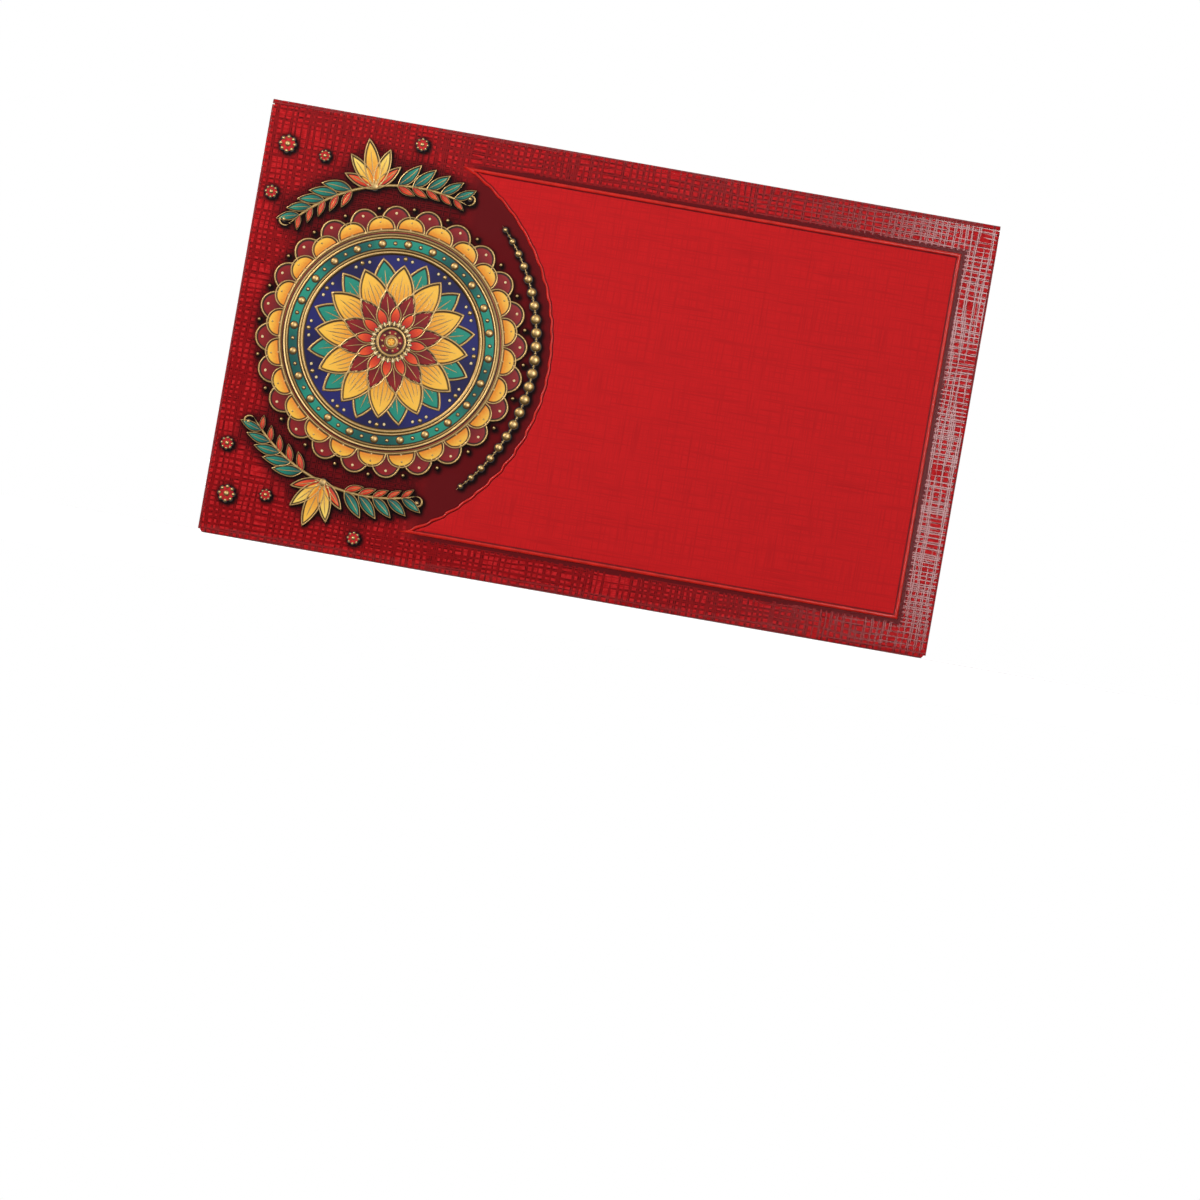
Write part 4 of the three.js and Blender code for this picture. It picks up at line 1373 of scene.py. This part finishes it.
# Pocket: side creases, side flaps, glue, bottom crease and back
pocketCut = {
    "sideFlapTaper": 7.0,
    "backCorner": 4.0,
    "backInset": 0.8,  # at the bottom crease
    "slitLength": 52.0,
    "slitWidth": 0.5,
    "slitDrop": 64.2,
    "lipWidth": 0.5,
    "lipRise": 0.12,
    "glueWaver": 0.5,
}


def buildPocket():
    low, high = span("left_side_fold", 2)
    middleY = (frontFace + sideFlapRear) / 2
    arc = math.pi * sideRadius
    for side, sign in (("left", -1), ("right", 1)):
        fold = newBag()
        rolledCrease(
            fold, (sign * panelHalf, middleY, 0), sideRadius, (bottomLine, high), (sign, 0, 0), (0, 0, 1),
            lambda run, place, sign=sign: (sign * (panelHalf + run), place, 0.0), 11 + sign,
        )
        makePiece(fold, side + "_side_crease", [side + "_side_fold"], "pocket")
        flap = newBag()
        inner = min(abs(x) for x in span(side + "_side_flap", 0))
        outline = [
            (sign * panelHalf, low), (sign * panelHalf, high),
            (sign * inner, high - pocketCut["sideFlapTaper"]), (sign * inner, low + pocketCut["sideFlapTaper"]),
        ]
        cardPlate(
            flap, outline, sideFlapRear, sideFlapFront,
            lambda x, z, sign=sign: (sign * (2 * panelHalf + arc) - x, z, 0.0), folds=outline[:2],
        )
        makePiece(flap, side + "_side_flap_card", [side + "_side_flap"], "pocket")
        buildGlue(side)
    # as wide as the front where it leaves it, and as the back where it meets that
    fold = newBag()
    rolledCrease(
        fold, (0, (frontFace + backRear) / 2, bottomRadius), bottomRadius, (-panelHalf, panelHalf),
        (0, 0, -1), (1, 0, 0), lambda run, place: (place, bottomLine - run, 0.0), 5,
        1 - (span("back_panel", 0)[1] - pocketCut["backInset"]) / panelHalf,
    )
    makePiece(fold, "bottom_crease", ["bottom_fold"], "pocket")


def buildGlue(side):
    # a spread line of glue with an uneven edge
    bag = newBag()
    dice = random.Random(side)
    left, right = span(side + "_glue_line", 0)
    low, high = span(side + "_glue_line", 2)
    near, far = span(side + "_glue_line", 1)
    steps = 40

    def edge(base, sign):
        heights = [low + (high - low) * k / steps for k in range(steps + 1)]
        return [(base + sign * dice.uniform(0, pocketCut["glueWaver"]), z) for z in heights]

    loop = clockwise(edge(left, 1) + edge(right, -1)[::-1])
    starts = []
    for inset, y in ((0.4, near), (0.0, near + 0.03), (0.0, far - 0.03), (0.4, far)):
        ring = insetLoop(loop, inset) if inset else loop
        starts.append(addPoints(bag, [(x, y, z) for x, z in ring]))
    for k in range(3):
        bridge(bag, starts[k], starts[k + 1], len(loop), "glue")
    for start in (starts[0], starts[3]):
        fillFlat(bag, [list(range(start, start + len(loop)))], "glue")
    makePiece(bag, side + "_glue", [side + "_glue_line"], "pocket")


def backSheet(x, z):
    return (x, bottomLine - math.pi * bottomRadius - (z - bottomLine), 0.0)


def buildBack():
    bag = newBag()
    top = span("back_panel", 2)[1]
    halfTop = span("back_panel", 0)[1]
    halfBottom = halfTop - pocketCut["backInset"]
    corner = pocketCut["backCorner"]
    outline = [(-halfBottom, bottomLine), (halfBottom, bottomLine), (halfBottom, bottomLine + 0.6)]
    rounding = [(0, corner), (0, 0.4 * corner), (0.4 * corner, 0), (corner, 0)]
    outline += bezier([(halfTop - x, top - z) for x, z in rounding], 10)
    outline += [(-x, z) for x, z in outline[:1:-1]]
    slitZ = envelopeHeight - pocketCut["slitDrop"]
    radius = pocketCut["slitWidth"] / 2
    end = pocketCut["slitLength"] / 2 - radius
    slit = racetrack(end, slitZ, radius, 8)
    slit = sorted(slit, key=lambda p: math.atan2(p[1] - slitZ, p[0] / 100))
    cardPlate(bag, outline, backRear, backFront, backSheet, holes=[slit], folds=outline[:2])
    # the cut is pressed up into a low lip round its edge
    path = racetrack(end + 0.1, slitZ, radius + 0.34, 12)
    lip = stroke(path + path[:1], pocketCut["lipWidth"], -0.02, pocketCut["lipRise"], taper=0, finish="lip")
    points = [(x, backRear - y, z) for x, y, z in lip["points"]]
    start = addPoints(bag, points, [backSheet(x, z) for x, _, z in points])
    bag["faces"] += [tuple(start + i for i in f) for f in lip["faces"]]
    bag["finish"] += lip["finish"]
    makePiece(bag, "back_card", ["back_panel"], "pocket")


def racetrack(end, z, radius, steps):
    # two half circles round the ends of a line
    path = []
    for sign, turn in ((1, 0), (-1, math.pi)):
        path += [polar(radius, math.pi * (k / steps - 0.5) + turn, (sign * end, z)) for k in range(steps + 1)]
    return path


buildPocket()
buildBack()
print("pocket built")


# Closing flap: lobes and an ogee to the tip, with its own beaded field
flapCut = {
    "sideDrop": 43.0,
    "lobes": [(13.0, 46.0, 0.27), (27.0, 53.8, 0.435), (42.0, 63.8, 0.165)],  # from side, drop, bulge
    "ogeeReach": 14.0,
    "ogeeLift": 1.2,
    "tipReach": 13.0,
    "tipLift": 8.8,
    "lobeSteps": 22,
    "ogeeSteps": 34,
    "sideBorder": 9.2,
    "lift": 9.8,  # from the scallops and the tip up to those of the field
    "scallopShift": 6.0,
    "sideLift": 7.3,
    "topBorder": 8.6,
    "roundHalf": 2.2,  # half the width of the rounded tip
    "roundSteps": 10,
}
flapDepth = envelopeHeight - span("closing_flap", 2)[0]
flapHalf = span("closing_flap", 0)[1]


def roundedCusp(before, cusp, after, radius=0.15, steps=9):
    # a tiny arc round a point between two lobes, so that what runs inside it turns softly
    x, z = cusp
    incoming = math.atan2(z - before[1], x - before[0])
    turn = (math.atan2(after[1] - z, after[0] - x) - incoming + math.pi) % (2 * math.pi) - math.pi
    angles = [incoming + math.pi / 2 + turn * k / steps for k in range(steps + 1)]
    return [polar(radius, a, cusp) for a in angles]


def flapOutline(top, sideInset, sideDrop, shift, lift, isRound=False):
    side = sideInset - flapHalf
    last = (side, envelopeHeight - sideDrop)
    half = [(side, top), (side, top - 0.6), last]
    for fromSide, drop, bulge in flapCut["lobes"]:
        end = (fromSide + shift - envelopeHalf, envelopeHeight - drop + lift)
        lobe = roundStretch(last, end, bulge, flapCut["lobeSteps"])
        if not isRound and len(half) > 3:
            half[-1:] = roundedCusp(half[-2], half[-1], lobe[0])
        half += lobe
        last = end
    tip = (0.0, envelopeHeight - flapDepth + lift)
    lead = (last[0] + flapCut["ogeeReach"], last[1] + flapCut["ogeeLift"])
    final = (tip[0] - flapCut["tipReach"], tip[1] + flapCut["tipLift"])
    half += bezier([last, lead, final, tip], flapCut["ogeeSteps"])[1:]
    if isRound:
        half = [p for p in half if p[0] < -flapCut["roundHalf"]]
        (x, z), (beforeX, beforeZ) = half[-1], half[-2]
        slope = math.atan2(beforeZ - z, x - beforeX)
        radius = -x / math.sin(slope)
        sink = z - radius * (1 - math.cos(slope)) - tip[1]
        for k in range(1, flapCut["roundSteps"] + 1):
            angle = slope * (1 - k / flapCut["roundSteps"])
            half.append((-radius * math.sin(angle), z - radius * (math.cos(angle) - math.cos(slope))))
        # the rounding would shorten the flap, so the last stretch comes down by as much
        reach = flapCut["tipReach"]
        half = [(x, z - sink * unit((x + reach) / reach) ** 2) for x, z in half]
    return half + [(-x, z) for x, z in half[-2::-1]]


def flapSheet(x, z):
    return (x, topLine + math.pi * topRadius + topLine - z, 0.0)


def buildFlap():
    plate = newBag()
    outline = flapOutline(topLine, 0, flapCut["sideDrop"], 0, 0, isRound=True)
    cardPlate(plate, outline, flapRear, flapFront, flapSheet, folds=(outline[0], outline[-1]))
    makePiece(plate, "flap_card", ["closing_flap"], "flap")
    field = newBag()
    outline = flapOutline(
        envelopeHeight - flapCut["topBorder"],
        flapCut["sideBorder"],
        flapCut["sideDrop"] - flapCut["sideLift"],
        flapCut["scallopShift"],
        flapCut["lift"],
    )
    beadedField(field, outline, flapRear, 1, flapSheet)
    makePiece(field, "flap_field_embossed", ["flap_field"], "flap")
    strip = newBag()
    rolledCrease(
        strip, (0, (frontFace + flapRear) / 2, topLine), topRadius, span("top_fold", 0),
        (0, 0, 1), (1, 0, 0), lambda run, place: (place, topLine + run, 0.0), 8,
    )
    crease = makePiece(strip, "top_crease", ["top_fold"])
    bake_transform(crease)


buildFlap()
print("flap built")


# Stage: a pale floor, a white surround, and soft lamps in front and behind
stage = {
    "floorSize": 2.4,
    "floorTone": 0.8,
    "floorLift": (0.35, 1.0),  # light that only the camera and mirrors see on the floor, near and far
    "liftReach": (0.2, 0.75),  # metres from the envelope
    "surround": 0.2,  # what the surround gives to matte surfaces
    # grey cards before and behind, which only glossy surfaces see: over the floor, then up
    "cardReach": (0.003, 1.7),
    "cardHalf": 0.6,
    "cardHeights": (0.002, 0.9),
    "cardTones": (0.0, 0.5),  # from low to high
    "cardFade": (0.02, 0.42),
    "cardSlant": -0.3,  # the grey rises towards one side as well
}
lamps = {
    # place in metres, width and height, brightness, all aimed at the envelope
    "leftKey": {"place": (-0.45, -0.5, 0.3), "size": (0.16, 0.28), "glow": 18.0},
    "rightGloss": {"place": (0.255, -1.2, 0.27), "size": (0.22, 0.52), "glow": 12.5},
    "rearKey": {"place": (0.45, 0.5, 0.3), "size": (0.16, 0.28), "glow": 18.0},
    "rearGloss": {"place": (-0.255, 1.2, 0.27), "size": (0.22, 0.52), "glow": 12.5},
}


def seenOnly(tree):
    # 1 for what the camera, mirrors and glass see, 0 for light that falls on matte surfaces
    path = node(tree, "ShaderNodeLightPath")
    seen = calc(tree, "MAXIMUM", path.outputs["Is Camera Ray"], path.outputs["Is Glossy Ray"])
    return calc(tree, "MAXIMUM", seen, path.outputs["Is Transmission Ray"])


def glow(tree, shader, strength):
    shader.inputs["Emission Color"].default_value = (1, 1, 1, 1)
    plug(tree, strength, shader.inputs["Emission Strength"])


def addPlain(name, points, faces, material):
    mesh = bpy.data.meshes.new(name)
    mesh.from_pydata(points, [], faces)
    mesh.materials.append(material)
    made = bpy.data.objects.new(name, mesh)
    bpy.context.scene.collection.objects.link(made)
    return made


def buildSurround():
    world = bpy.data.worlds.new("surround")
    world.use_nodes = True
    bpy.context.scene.world = world
    tree = world.node_tree
    background = tree.nodes["Background"]
    background.inputs["Color"].default_value = (1, 1, 1, 1)
    plug(tree, fade(tree, seenOnly(tree), 0, 1, stage["surround"], 1.0), background.inputs["Strength"])


def buildFloor():
    material, tree, shader = newFinish("pale_floor", 0.9, specular=0.1)
    tones = [(tone, tone, tone, 1) for tone in (stage["floorTone"], stage["floorTone"] * 0.98)]
    place = node(tree, "ShaderNodeTexCoord").outputs["Object"]
    plug(tree, mixed(tree, noiseAt(tree, place, 3.0, 2.0), *tones), shader.inputs["Base Color"])
    reach = node(tree, "ShaderNodeVectorMath", {"Vector": place}, operation="LENGTH").outputs["Value"]
    lift = fade(tree, reach, *stage["liftReach"], *stage["floorLift"])
    glow(tree, shader, calc(tree, "MULTIPLY", seenOnly(tree), lift))
    half = stage["floorSize"] / 2
    corners = [(-half, -half, 0), (half, -half, 0), (half, half, 0), (-half, half, 0)]
    floor = addPlain("floor", corners, [(0, 1, 2, 3)], material)


def buildGreyCard(name, side):
    (near, far), half, (low, high) = stage["cardReach"], stage["cardHalf"], stage["cardHeights"]
    material, tree, shader = newFinish(name, 0.5, specular=0.0)
    shader.inputs["Base Color"].default_value = (0, 0, 0, 1)
    place = node(tree, "ShaderNodeTexCoord").outputs["Object"]
    parts = node(tree, "ShaderNodeSeparateXYZ", {"Vector": place}).outputs
    slant = calc(tree, "MULTIPLY_ADD", parts["X"], stage["cardSlant"] * side, parts["Z"])
    glow(tree, shader, fade(tree, slant, *stage["cardFade"], *stage["cardTones"]))
    rows = [(side * near, low), (side * far, low), (side * far, high)]
    points = [(x, depth, z) for depth, z in rows for x in (-half, half)]
    greyCard = addPlain(name, points, [(0, 1, 3, 2), (2, 3, 5, 4)], material)
    greyCard.visible_camera = greyCard.visible_diffuse = greyCard.visible_shadow = False
    greyCard.visible_transmission = False


def buildLamp(name, lamp):
    data = bpy.data.lights.new(name, "AREA")
    data.shape = "RECTANGLE"
    data.size, data.size_y = lamp["size"]
    data.energy = lamp["glow"] * math.pi * data.size * data.size_y
    made = bpy.data.objects.new(name, data)
    bpy.context.scene.collection.objects.link(made)
    made.location = lamp["place"]
    aim = Vector((0, 0, envelopeHeight * mm / 2)) - made.location
    made.rotation_euler = aim.to_track_quat("-Z", "Y").to_euler()
    made.visible_camera = False


buildSurround()
buildFloor()
buildGreyCard("front_grey_card", -1)
buildGreyCard("rear_grey_card", 1)
for name, lamp in lamps.items():
    buildLamp(name, lamp)
bpy.context.scene.view_settings.view_transform = "Standard"
print("stage built")
